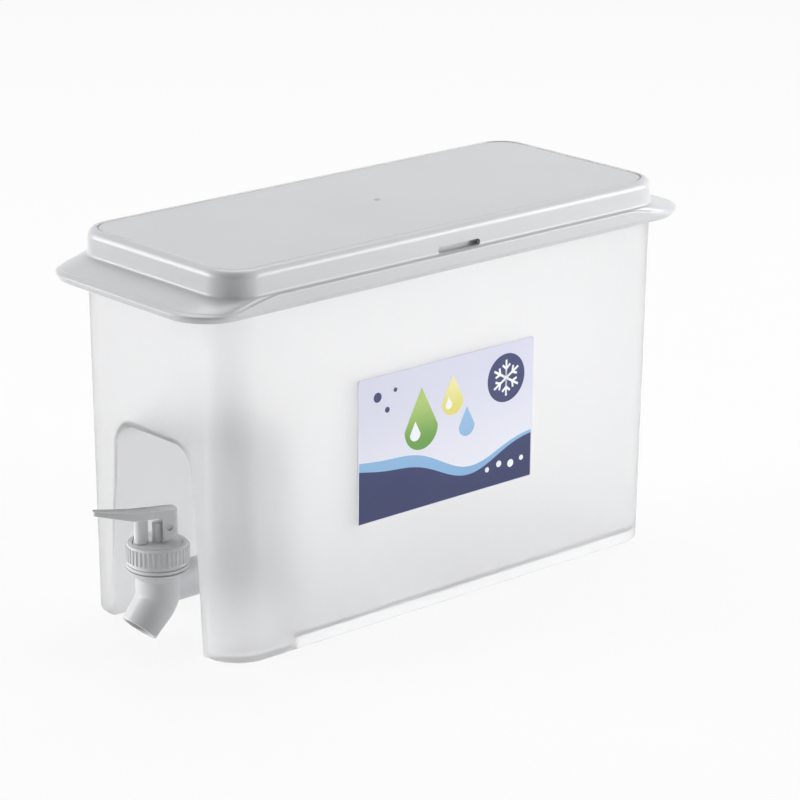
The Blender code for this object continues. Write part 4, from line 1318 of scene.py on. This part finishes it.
@dataclass
class TapBody:
    """The tap's body: barrel, flared shoulder, neck, forward-bent spout, shank, flange and threaded tail."""

    barrel: float = 0.0097
    shoulder: float = 0.0136
    shoulder_foot: float = 0.0269
    shoulder_band: float = 0.0308
    shoulder_top: float = 0.0316
    neck: float = 0.0110
    neck_top: float = 0.0386
    chamber: float = 0.0076
    seat: float = 0.0196
    throat: float = 0.0044
    throat_floor: float = 0.0105
    bend_top: float = 0.0223
    bend_radius: float = 0.0120
    tilt: float = math.radians(43)
    run: float = 0.0109
    spout_end: float = 0.0083
    spout_bore: float = 0.0064
    bore_depth: float = 0.0090
    shank: float = 0.0082
    shank_height: float = 0.0225
    flange: float = 0.0140
    flange_start: float = 0.0422
    flange_thickness: float = 0.0022
    fillet: float = 0.0012
    inlet_start: float = 0.0062
    bend_taper: float = 0.55
    tail: float = 0.0070
    tail_length: float = 0.0165
    thread_depth: float = 0.0005
    thread_pitch: float = 0.0020
    threads: int = 5
    edge: float = 0.0004
    steps: int = 64
    bend_steps: int = 10
    bore_steps: int = 48

    def spout_ring(self, angle: float, along: float, radius: float) -> Piece:
        """Adds one ring of the spout at an angle of its bend and a run past it."""
        deselect_all()
        place = self.on_spout(angle, along)
        turn = (-angle, 0.0, 0.0)
        bpy.ops.mesh.primitive_circle_add(vertices=self.steps, radius=radius, location=place, rotation=turn)
        item = bpy.context.object
        set_place(item)
        return item

    def on_spout(self, angle: float, along: float) -> Vector:
        """Gives the middle of the spout at an angle of its bend and a run past it."""
        y = TAP_Y - self.bend_radius * (1 - math.cos(angle)) - along * math.sin(angle)
        return Vector((0.0, y, self.bend_top - self.bend_radius * math.sin(angle) - along * math.cos(angle)))

    def barrel_and_spout(self) -> Piece:
        """Makes the barrel with its bent, tapering spout."""
        rings = [self.spout_ring(0.0, self.bend_top - self.shoulder_band, self.barrel)]
        taper, bent, edge = self.barrel - self.spout_end, self.bend_taper, self.edge
        for step in range(self.bend_steps + 1):
            share = step / self.bend_steps
            rings.append(self.spout_ring(self.tilt * share, 0.0, self.barrel - taper * share * bent))
        for share in (0.5, 1.0):
            radius = self.barrel - taper * (bent + (1 - bent) * share)
            rings.append(self.spout_ring(self.tilt, (self.run - edge) * share, radius))
        for cut, narrow in ((0.3, 0.3), (0.0, 1.0)):
            rings.append(self.spout_ring(self.tilt, self.run - edge * cut, self.spout_end - edge * narrow))
        return skin("tap_spout", rings)

    def tail_profile(self) -> list[Pair]:
        """Gives the shank's, flange's and threaded tail's profile."""
        start, fillet, edge = self.flange_start, self.fillet, self.edge
        back = start + self.flange_thickness
        profile = [(self.shank, 0.0), (self.shank, start - fillet)]
        for step in range(1, 5):
            angle = math.pi / 2 * step / 4
            radius = self.shank + fillet * (1 - math.cos(angle))
            profile.append((radius, start - fillet * (1 - math.sin(angle))))
        profile += [(self.flange - edge, start), (self.flange, start + edge)]
        profile += [(self.flange, back - edge / 2), (self.flange - edge / 2, back), (self.tail, back)]
        end, pitch, root = back + self.tail_length, self.thread_pitch, self.tail - self.thread_depth
        for thread in range(self.threads, 0, -1):
            low = end - pitch * thread
            for radius, share in ((self.tail, 0.0), (self.tail, 0.25), (root, 0.5), (root, 0.7)):
                profile.append((radius, low + pitch * share))
        return [*profile, (self.tail - edge / 2, end)]

    def shoulder_profile(self) -> list[Pair]:
        """Gives the flared shoulder's and the neck's profile."""
        edge, nick, rise = self.edge, self.edge / 4, self.shoulder_top - self.shoulder_band
        return [
            (self.barrel - nick * 3, self.shoulder_foot),
            (self.barrel + edge, self.shoulder_foot + edge * 2),
            (self.shoulder - edge * 1.5, self.shoulder_band - edge),
            (self.shoulder - nick, self.shoulder_band),
            (self.shoulder, self.shoulder_band + rise / 3),
            (self.shoulder, self.shoulder_top - nick),
            (self.shoulder - nick, self.shoulder_top),
            (self.neck, self.shoulder_top),
            (self.neck, self.neck_top - edge),
            (self.neck - edge, self.neck_top),
        ]

    def bore(self, radius: float, low: float, high: float) -> Piece:
        """Makes the round tool of a bore."""
        return turned("bore", [(radius, low), (radius, high)], False, self.bore_steps)

    def build(self) -> Piece:
        """Makes the tap's body."""
        body, axis, edge = self.barrel_and_spout(), Vector((0.0, TAP_Y, 0.0)), self.edge
        boolean(body, put(turned("tap_shoulder", self.shoulder_profile(), False, self.steps), axis), "UNION")
        shank = turned("tap_shank", self.tail_profile(), False, self.steps)
        boolean(body, laid_back(shank, TAP_Y, self.shank_height), "UNION")
        boolean(body, put(self.bore(self.chamber, self.seat, self.neck_top + 0.002), axis))
        boolean(body, put(self.bore(self.throat, self.throat_floor, self.seat + 0.0003), axis))
        end = self.flange_start + self.flange_thickness + self.tail_length + 0.002
        boolean(body, laid_back(self.bore(self.throat, self.inlet_start, end), TAP_Y, self.shank_height))
        radius = self.spout_bore
        mouth = [(radius, -self.bore_depth), (radius, -edge), (radius + edge * 2, edge)]
        outlet = turned("outlet", mouth, False, self.bore_steps)
        boolean(body, put(outlet, self.on_spout(self.tilt, self.run), (math.pi - self.tilt, 0.0, 0.0)))
        merge_points(body)
        shade(body, 34.0)
        settle(body, "tap_casting", "jug", Finishes.TAP)
        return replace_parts(body, "tap_body")


@dataclass
class Bonnet:
    """The ribbed collar screwed on the neck, with a recess for the slip washer and a boss for the spring."""

    foot: float = 0.0319
    top: float = 0.0426
    band: float = 0.0133
    wall: float = 0.0130
    reach: float = 0.0136
    groove: float = 0.0125
    thread: float = 0.0113
    seam_low: float = 0.0015
    seam_high: float = 0.0020
    recess: float = 0.0106
    recess_depth: float = 0.0010
    stem_bore: float = 0.0023
    ceiling: float = 0.0404
    boss: float = 0.0062
    boss_bore: float = 0.0041
    boss_foot: float = 0.0376
    nick: float = 0.0001
    rib_foot: float = 0.0352
    rib_width: float = 0.0011
    ribs: int = 40
    steps: int = 80

    def collar(self) -> Piece:
        """Makes the turned collar with its bore, boss and recess."""
        nick, seam_low, seam_high = self.nick, self.foot + self.seam_low, self.foot + self.seam_high
        outside = [
            (self.band, self.foot + nick * 2),
            (self.band, seam_low - nick),
            (self.band - nick, seam_low),
            (self.groove, seam_low),
            (self.groove, seam_high),
            (self.band - nick, seam_high),
            (self.band, seam_high + nick),
            (self.band, self.rib_foot - nick * 6),
            (self.wall, self.rib_foot),
            (self.wall, self.top - nick * 6),
            (self.wall - nick, self.top - nick * 3),
            (self.wall - nick * 4, self.top),
            (self.recess + nick * 2, self.top),
        ]
        inside = [
            (self.recess, self.top - nick * 2),
            (self.recess, self.top - self.recess_depth),
            (self.stem_bore, self.top - self.recess_depth),
            (self.stem_bore, self.ceiling),
            (self.boss_bore, self.ceiling),
            (self.boss_bore, self.boss_foot),
            (self.boss, self.boss_foot),
            (self.boss, self.ceiling),
            (self.thread, self.ceiling),
            (self.thread, self.foot),
            (self.band - nick * 2, self.foot),
        ]
        return turned("bonnet_collar", outside + inside, True, self.steps)

    def rib_set(self) -> Piece:
        """Makes one rib and copies it round the collar."""
        half, nick = self.rib_width / 2, self.nick
        first = add_box((self.wall - nick * 6, -half, self.rib_foot), (self.reach, half, self.top - nick * 8))
        middle = (self.reach, 0.0, (self.rib_foot + self.top) / 2)
        edit(first)
        select_points(first, lambda place: place.x > self.wall)
        bpy.ops.transform.resize(value=(1.0, 0.72, 0.96), center_override=middle)
        select_edges(first, lambda place: place.x > self.wall)
        bevel_edges(nick * 1.2, 2)
        leave_edit()
        copies = [first]
        for index in range(1, self.ribs):
            rib = first.copy()
            rib.data = first.data.copy()
            bpy.context.collection.objects.link(rib)
            rib.data.transform(Matrix.Rotation(2 * math.pi * index / self.ribs, 4, "Z"))
            copies.append(rib)
        return joined(copies)

    def build(self) -> Piece:
        """Makes the bonnet."""
        bonnet = self.collar()
        boolean(bonnet, self.rib_set(), "UNION")
        bonnet.location = (0.0, TAP_Y, 0.0)
        merge_points(bonnet)
        settle(bonnet, "tap_bonnet", "jug", Finishes.TAP)
        shade(bonnet, 30.0)
        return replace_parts(bonnet, "bonnet")


@dataclass
class WallFittings:
    """The silicone washers on both sides of the alcove's back wall and the winged nut."""

    bore: float = 0.0073
    gasket: float = 0.0125
    height: float = 0.0225
    outer_start: float = -0.0783
    outer_thickness: float = 0.0012
    inner_start: float = -0.0743
    inner_thickness: float = 0.0016
    nut_start: float = -0.0724
    nut_thickness: float = 0.0065
    nut_radius: float = 0.0108
    wing_reach: float = 0.0142
    wing_half: float = 0.0015
    wings: int = 6
    wing_gap: float = 0.0004
    wing_round: float = 0.0005
    edge: float = 0.0003

    def washer(self, name: str, node: str, start: float, thickness: float) -> None:
        """Makes one silicone washer with rounded rims."""
        profile = washer(self.bore, self.gasket, 0.0, thickness, self.edge)
        piece = laid_back(turned(name, profile, True, 56), start + CENTRE_Y, self.height)
        settle(piece, name, "jug", Finishes.SILICONE)
        shade(piece)
        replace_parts(piece, node)

    def nut(self) -> None:
        """Makes the nut: a ring with six grip wings."""
        high, radius, half, reach = self.nut_thickness, self.nut_radius, self.wing_half, self.wing_reach
        nut = turned("nut", washer(self.bore, radius, 0.0, high, self.edge), True, 56)
        for index in range(self.wings):
            wing = add_box((radius - 0.001, -half, self.wing_gap), (reach, half, high - self.wing_gap))
            edit(wing)
            select_points(wing, lambda place: place.x > radius)
            bpy.ops.transform.resize(value=(1.0, 0.8, 0.92), center_override=(reach, 0.0, high / 2))
            select_edges(wing, lambda place: place.x > radius)
            bevel_edges(self.wing_round, 3)
            leave_edit()
            wing.data.transform(Matrix.Rotation(2 * math.pi * index / self.wings, 4, "Z"))
            boolean(nut, wing, "UNION")
        merge_points(nut)
        nut = laid_back(nut, self.nut_start + CENTRE_Y, self.height)
        settle(nut, "tap_nut", "jug", Finishes.TAP)
        shade(nut)
        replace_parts(nut, "lock_nut")

    def build(self) -> None:
        """Makes the washers and the nut."""
        self.washer("tap_gasket_outer", "outer_gasket", self.outer_start, self.outer_thickness)
        self.washer("tap_gasket_inner", "inner_gasket", self.inner_start, self.inner_thickness)
        self.nut()


@dataclass
class PressLever:
    """The moving top of the tap: slip washer, stem with its eye, pin, and lever with cheeks and foot."""

    yaw: float = math.radians(-23)
    half_width: float = 0.0039
    top: float = 0.0573
    plate: float = 0.0033
    rear: float = 0.0084
    shoulder: float = 0.0114
    reach: float = 0.02755
    tip_half: float = 0.0017
    tip_rise: float = 0.0021
    tip_thickness: float = 0.0020
    rear_round: float = 0.0022
    rim: float = 0.0010
    recess: float = 0.0006
    foot_z: float = 0.0430
    foot_radius: float = 0.0030
    foot_ahead: float = 0.0070
    cheek_front: float = 0.0015
    cheek_rise: float = 0.0028
    cheek_gap: float = 0.0003
    cheek_inset: float = 0.00003
    slot_half: float = 0.00195
    pin_y: float = 0.0045
    pin_z: float = 0.0497
    pin_radius: float = 0.00125
    pin_half: float = 0.0031
    pin_play: float = 0.0001
    eye_radius: float = 0.0031
    eye_half: float = 0.0016
    eye_drop: float = 0.0030
    stem: float = 0.0022
    stem_top: float = 0.0515
    stem_foot: float = 0.0212
    stem_tip: float = 0.0015
    stem_flange: float = 0.0056
    stem_flange_low: float = 0.0234
    stem_flange_high: float = 0.0246
    washer_foot: float = 0.0419
    washer_top: float = 0.0427
    washer_bore: float = 0.0023
    washer_radius: float = 0.0103
    washer_edge: float = 0.00015
    cut: float = 0.0002
    edge: float = 0.00022

    def on_axis(self, piece: Piece) -> Piece:
        """Turns a piece with the lever and moves it to the tap's upright axis."""
        return put(piece, (0.0, TAP_Y, 0.0), (0.0, 0.0, self.yaw))

    def across(self, name: str, profile: list[Pair]) -> Piece:
        """Makes a turned piece that lies across X at the pin's place."""
        return put(turned(name, profile, False, 40), (0.0, self.pin_y, self.pin_z), (0.0, math.pi / 2, 0.0))

    def drill(self, piece: Piece, half: float) -> None:
        """Cuts the pin's hole through a piece of some half width."""
        hole = self.pin_radius + self.pin_play
        boolean(piece, self.across("pin_hole", [(hole, -half), (hole, half)]))

    def plate_piece(self) -> Piece:
        """Makes the lever's plate: head, tapering tongue, raised rim and rounded edges."""
        deselect_all()
        middle = (0.0, (self.rear - self.shoulder) / 2, self.top)
        bpy.ops.mesh.primitive_plane_add(size=1.0, location=middle)
        piece = bpy.context.object
        piece.scale = (self.half_width * 2, self.rear + self.shoulder, 1.0)
        set_place(piece)
        edit(piece)
        select_edges(piece, lambda place: place.y < MERGE - self.shoulder)
        tongue = (0.0, self.shoulder - self.reach, self.tip_rise)
        bpy.ops.mesh.extrude_region_move(TRANSFORM_OT_translate={"value": tongue})
        narrowing = (self.tip_half / self.half_width, 1.0, 1.0)
        bpy.ops.transform.resize(value=narrowing, center_override=(0.0, -self.reach, self.top))
        select_points(piece, lambda place: place.y > self.rear - MERGE)
        bevel_points(self.rear_round, 6)
        select_points(piece, lambda place: place.y < MERGE - self.reach)
        bevel_points(self.tip_half * 0.5, 4)
        bpy.ops.mesh.select_all(action="SELECT")
        bpy.ops.mesh.extrude_region_move(TRANSFORM_OT_translate={"value": (0.0, 0.0, -self.plate)})
        near_tip, level = 0.002 - self.reach, self.top + self.tip_rise - self.plate / 2
        select_points(piece, lambda place: place.y < near_tip and place.z < level)
        bpy.ops.transform.translate(value=(0.0, 0.0, self.plate - self.tip_thickness))
        turn_outwards()
        select(piece, Part.FACES, lambda face: face.normal.z > 0.5)
        bpy.ops.mesh.inset(thickness=self.rim, depth=-self.recess)
        leave_edit()
        round_edges(piece, self.edge, 3)
        return piece

    def cheek(self, side: int) -> Piece:
        """Makes one cheek, whose lower rear corner is cut off."""
        outer, rear = self.half_width - self.cheek_inset, self.rear - self.cheek_inset
        left, right = sorted((side * self.slot_half, side * outer))
        low = (left, self.cheek_front, self.foot_z + self.cheek_gap)
        piece = add_box(low, (right, rear, self.under_plate()))
        near = 0.001

        def on_rear_corner(place: Vector) -> bool:
            """Says whether a point is on the outer rear edge."""
            return place.y > self.rear - near and abs(place.x - side * self.half_width) < near

        edit(piece)
        select_points(piece, lambda place: place.y > self.rear - near and place.z < self.pin_z)
        bpy.ops.transform.translate(value=(0.0, 0.0, self.cheek_rise))
        select_edges(piece, on_rear_corner)
        bevel_edges(min(self.rear_round, self.half_width - self.slot_half) * 0.9, 5)
        leave_edit()
        round_edges(piece, self.edge * 0.7, 2)
        return piece

    def under_plate(self) -> float:
        """Gives the height inside the plate at which the cheeks and the foot end."""
        return self.top - self.plate * 0.66

    def lever(self) -> None:
        """Makes the lever."""
        piece = self.plate_piece()
        for side in (-1, 1):
            boolean(piece, self.cheek(side), "UNION")
        radius, edge = self.foot_radius, self.edge
        profile = [(radius - edge, self.foot_z), (radius, self.foot_z + edge), (radius, self.under_plate())]
        boolean(piece, put(turned("foot", profile, False, 40), (0.0, -self.foot_ahead, 0.0)), "UNION")
        self.drill(piece, self.half_width * 2)
        merge_points(piece)
        self.on_axis(piece)
        settle(piece, "tap_lever", "lever", Finishes.TAP)
        shade(piece, 34.0)
        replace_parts(piece, "lever")

    def stem_piece(self) -> None:
        """Makes the stem with its flange, tip and the eye for the pin."""
        tip, foot, cut = self.stem_tip, self.stem_foot, self.cut
        low, high = self.stem_flange_low, self.stem_flange_high
        profile = [(tip - cut, foot), (tip, foot + cut), (tip, low), *rod(self.stem_flange, low, high, cut)]
        top, neck = self.stem_top, self.stem
        profile += [(neck, high), (neck, top - cut * 2), (neck - cut * 2, top)]
        piece = turned("stem", profile, False, 40)
        half = self.eye_half
        boolean(piece, self.across("eye", rod(self.eye_radius, -half, half, cut)), "UNION")
        side = half - self.pin_play
        low_corner = (-side, neck / 2, self.pin_z - self.eye_drop)
        boolean(piece, add_box(low_corner, (side, self.pin_y, top - 0.0003)), "UNION")
        self.drill(piece, half * 3)
        merge_points(piece)
        self.on_axis(piece)
        settle(piece, "tap_stem", "stem", Finishes.TAP)
        shade(piece, 34.0)
        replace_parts(piece, "stem")

    def pin(self) -> None:
        """Makes the pin with chamfered ends."""
        piece = self.across("pin", rod(self.pin_radius, -self.pin_half, self.pin_half, self.cut))
        self.on_axis(piece)
        settle(piece, "tap_pin", "stem", Finishes.PIN)
        shade(piece)
        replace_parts(piece, "lever_pin")

    def washer(self) -> None:
        """Makes the slip washer with softened rims."""
        low, high = self.washer_foot, self.washer_top
        profile = washer(self.washer_bore, self.washer_radius, low, high, self.washer_edge)
        piece = turned("washer", profile, True, 56)
        self.on_axis(piece)
        settle(piece, "tap_slip_washer", "swivel", Finishes.TAP)
        shade(piece)
        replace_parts(piece, "slip_washer")

    def build(self) -> None:
        """Makes the lever and what moves with it."""
        self.washer()
        self.stem_piece()
        self.pin()
        self.lever()


# Studio


@dataclass
class Studio:
    """Floor, backdrop light, lamps and the camera at the photograph's angle."""

    azimuth: float = 48.06
    elevation: float = 17.84
    roll: float = -0.31
    distance: float = 1.479
    focal_pixels: float = 3353.0
    image_side: float = 800.0
    sensor: float = 36.0
    aim_right: float = 0.01033
    aim_height: float = 0.07936
    floor_side: float = 6.0
    floor_height: float = -0.0002
    floor_glow: float = 0.88
    floor_colour: float = 0.84
    world_light: float = 0.14
    lamp_aim: float = 0.08
    side_reach: float = 1.7
    side_height: float = 0.34
    side_size: float = 1.1
    right_power: float = 35.0
    left_power: float = 29.0
    top_place: Vector = field(default_factory=lambda: Vector((-0.52, 0.47, 1.82)))
    top_size: float = 1.3
    top_power: float = 20.0

    def camera_axes(self) -> tuple[Vector, Vector, Vector]:
        """Gives the camera's right, up and back directions before its roll."""
        azimuth, elevation = math.radians(self.azimuth), math.radians(self.elevation)
        level = math.cos(elevation)
        back = Vector((math.sin(azimuth) * level, -math.cos(azimuth) * level, math.sin(elevation)))
        right = Vector((math.cos(azimuth), math.sin(azimuth), 0.0))
        return right, back.cross(right), back

    def add_camera(self) -> None:
        """Makes the camera and sets it as the scene's."""
        data = bpy.data.cameras.new("photo camera")
        data.sensor_width = self.sensor
        data.lens = self.focal_pixels / self.image_side * self.sensor
        data.clip_start, data.clip_end = 0.05, 50.0
        camera = bpy.data.objects.new("photo camera", data)
        bpy.context.collection.objects.link(camera)
        right, up, back = self.camera_axes()
        turn = math.radians(self.roll)
        across = math.cos(turn) * right - math.sin(turn) * up
        upward = math.sin(turn) * right + math.cos(turn) * up
        matrix = Matrix((across, upward, back)).transposed().to_4x4()
        aim = right * self.aim_right + Vector((0, CENTRE_Y, self.aim_height))
        matrix.translation = aim + back * self.distance
        camera.matrix_world = matrix
        bpy.context.scene.camera = camera

    def add_floor(self) -> None:
        """Makes the pale floor, white to the camera except for the jug's shadow."""
        deselect_all()
        bpy.ops.mesh.primitive_plane_add(size=self.floor_side, location=(0, 0, self.floor_height))
        floor = bpy.context.object
        floor.name = "floor"
        material, sheet, shader, _ = new_material("pale floor")
        sheet.feed(shader, {"Base Color": (self.floor_colour,) * 3, "Roughness": 0.9})
        glow = sheet.add("ShaderNodeEmission", {"Strength": 1.0})
        path = sheet.add("ShaderNodeLightPath").outputs
        seen = sheet.maths("MAXIMUM", path["Is Glossy Ray"], path["Is Transmission Ray"])
        share = sheet.maths("MAXIMUM", sheet.maths("MULTIPLY", path["Is Camera Ray"], self.floor_glow), seen)
        mix = sheet.add("ShaderNodeMixShader", {0: share, 1: shader.outputs[0], 2: glow.outputs[0]})
        sheet.feed(material.node_tree.nodes["Material Output"], {"Surface": mix.outputs[0]})
        floor.data.materials.append(material)

    def add_world(self) -> None:
        """Makes the world: white where it is seen, and a plain soft light elsewhere."""
        world = bpy.data.worlds.new("studio")
        world.use_nodes = True
        sheet = NodeSheet(world.node_tree)
        path = sheet.add("ShaderNodeLightPath").outputs
        seen = sheet.maths("MAXIMUM", path["Is Camera Ray"], path["Is Glossy Ray"])
        seen = sheet.maths("MAXIMUM", seen, path["Is Transmission Ray"])
        strength = sheet.maths("MULTIPLY_ADD", seen, 1.0 - self.world_light, self.world_light)
        sheet.feed(world.node_tree.nodes["Background"], {"Color": (1.0, 1.0, 1.0), "Strength": strength})
        bpy.context.scene.world = world

    def add_lamp(self, name: str, place: Vector, aim: Vector, side: float, power: float) -> None:
        """Makes one soft square lamp.

        Args:
            name: the lamp's name.
            place: where it stands.
            aim: the point that it faces.
            side: its side's length in metres.
            power: its power in watts.
        """
        data = bpy.data.lights.new(name, "AREA")
        data.shape = "SQUARE"
        data.size = side
        data.energy = power
        lamp = bpy.data.objects.new(name, data)
        bpy.context.collection.objects.link(lamp)
        lamp.location = place
        lamp.rotation_euler = (aim - place).to_track_quat("-Z", "Y").to_euler()

    def build(self) -> None:
        """Makes the whole studio."""
        self.add_camera()
        self.add_floor()
        self.add_world()
        aim, rise = Vector((0.0, 0.0, self.lamp_aim)), Vector((0.0, 0.0, self.side_height))
        right = self.camera_axes()[0] * self.side_reach
        self.add_lamp("right softbox", rise + right, aim, self.side_size, self.right_power)
        self.add_lamp("left softbox", rise - right, aim, self.side_size, self.left_power)
        self.add_lamp("top softbox", self.top_place, aim, self.top_size, self.top_power)
        bpy.context.scene.view_settings.view_transform = "Standard"


def coil_spring() -> Piece:
    """Makes the return spring from a copy of its solid.

    Returns:
        The finished spring.
    """
    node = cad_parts["spring"]
    deselect_all()
    piece = bpy.data.objects.new("coil_spring", node.data.copy())
    bpy.context.collection.objects.link(piece)
    piece.matrix_world = node.matrix_world.copy()
    bpy.context.view_layer.update()
    set_place(piece)
    merge_points(piece)
    shade(piece, 40.0)
    settle(piece, "tap_spring", "jug", Finishes.SPRING)
    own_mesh(piece)
    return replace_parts(piece, "spring")


def main() -> None:
    """Builds the jug's looks in order."""
    logging.basicConfig(level=logging.INFO, format="%(message)s")
    Groups.build()
    Palette.build()
    for part in (Studio, Tank, Lid, Label, TapBody, Bonnet, WallFittings, PressLever):
        part().build()
    for node in ("seat_plug", "stem_seal", "bonnet_seal"):
        dress(node, Finishes.SILICONE)
    coil_spring()
    bpy.context.view_layer.update()


if __name__ == "__main__":
    main()
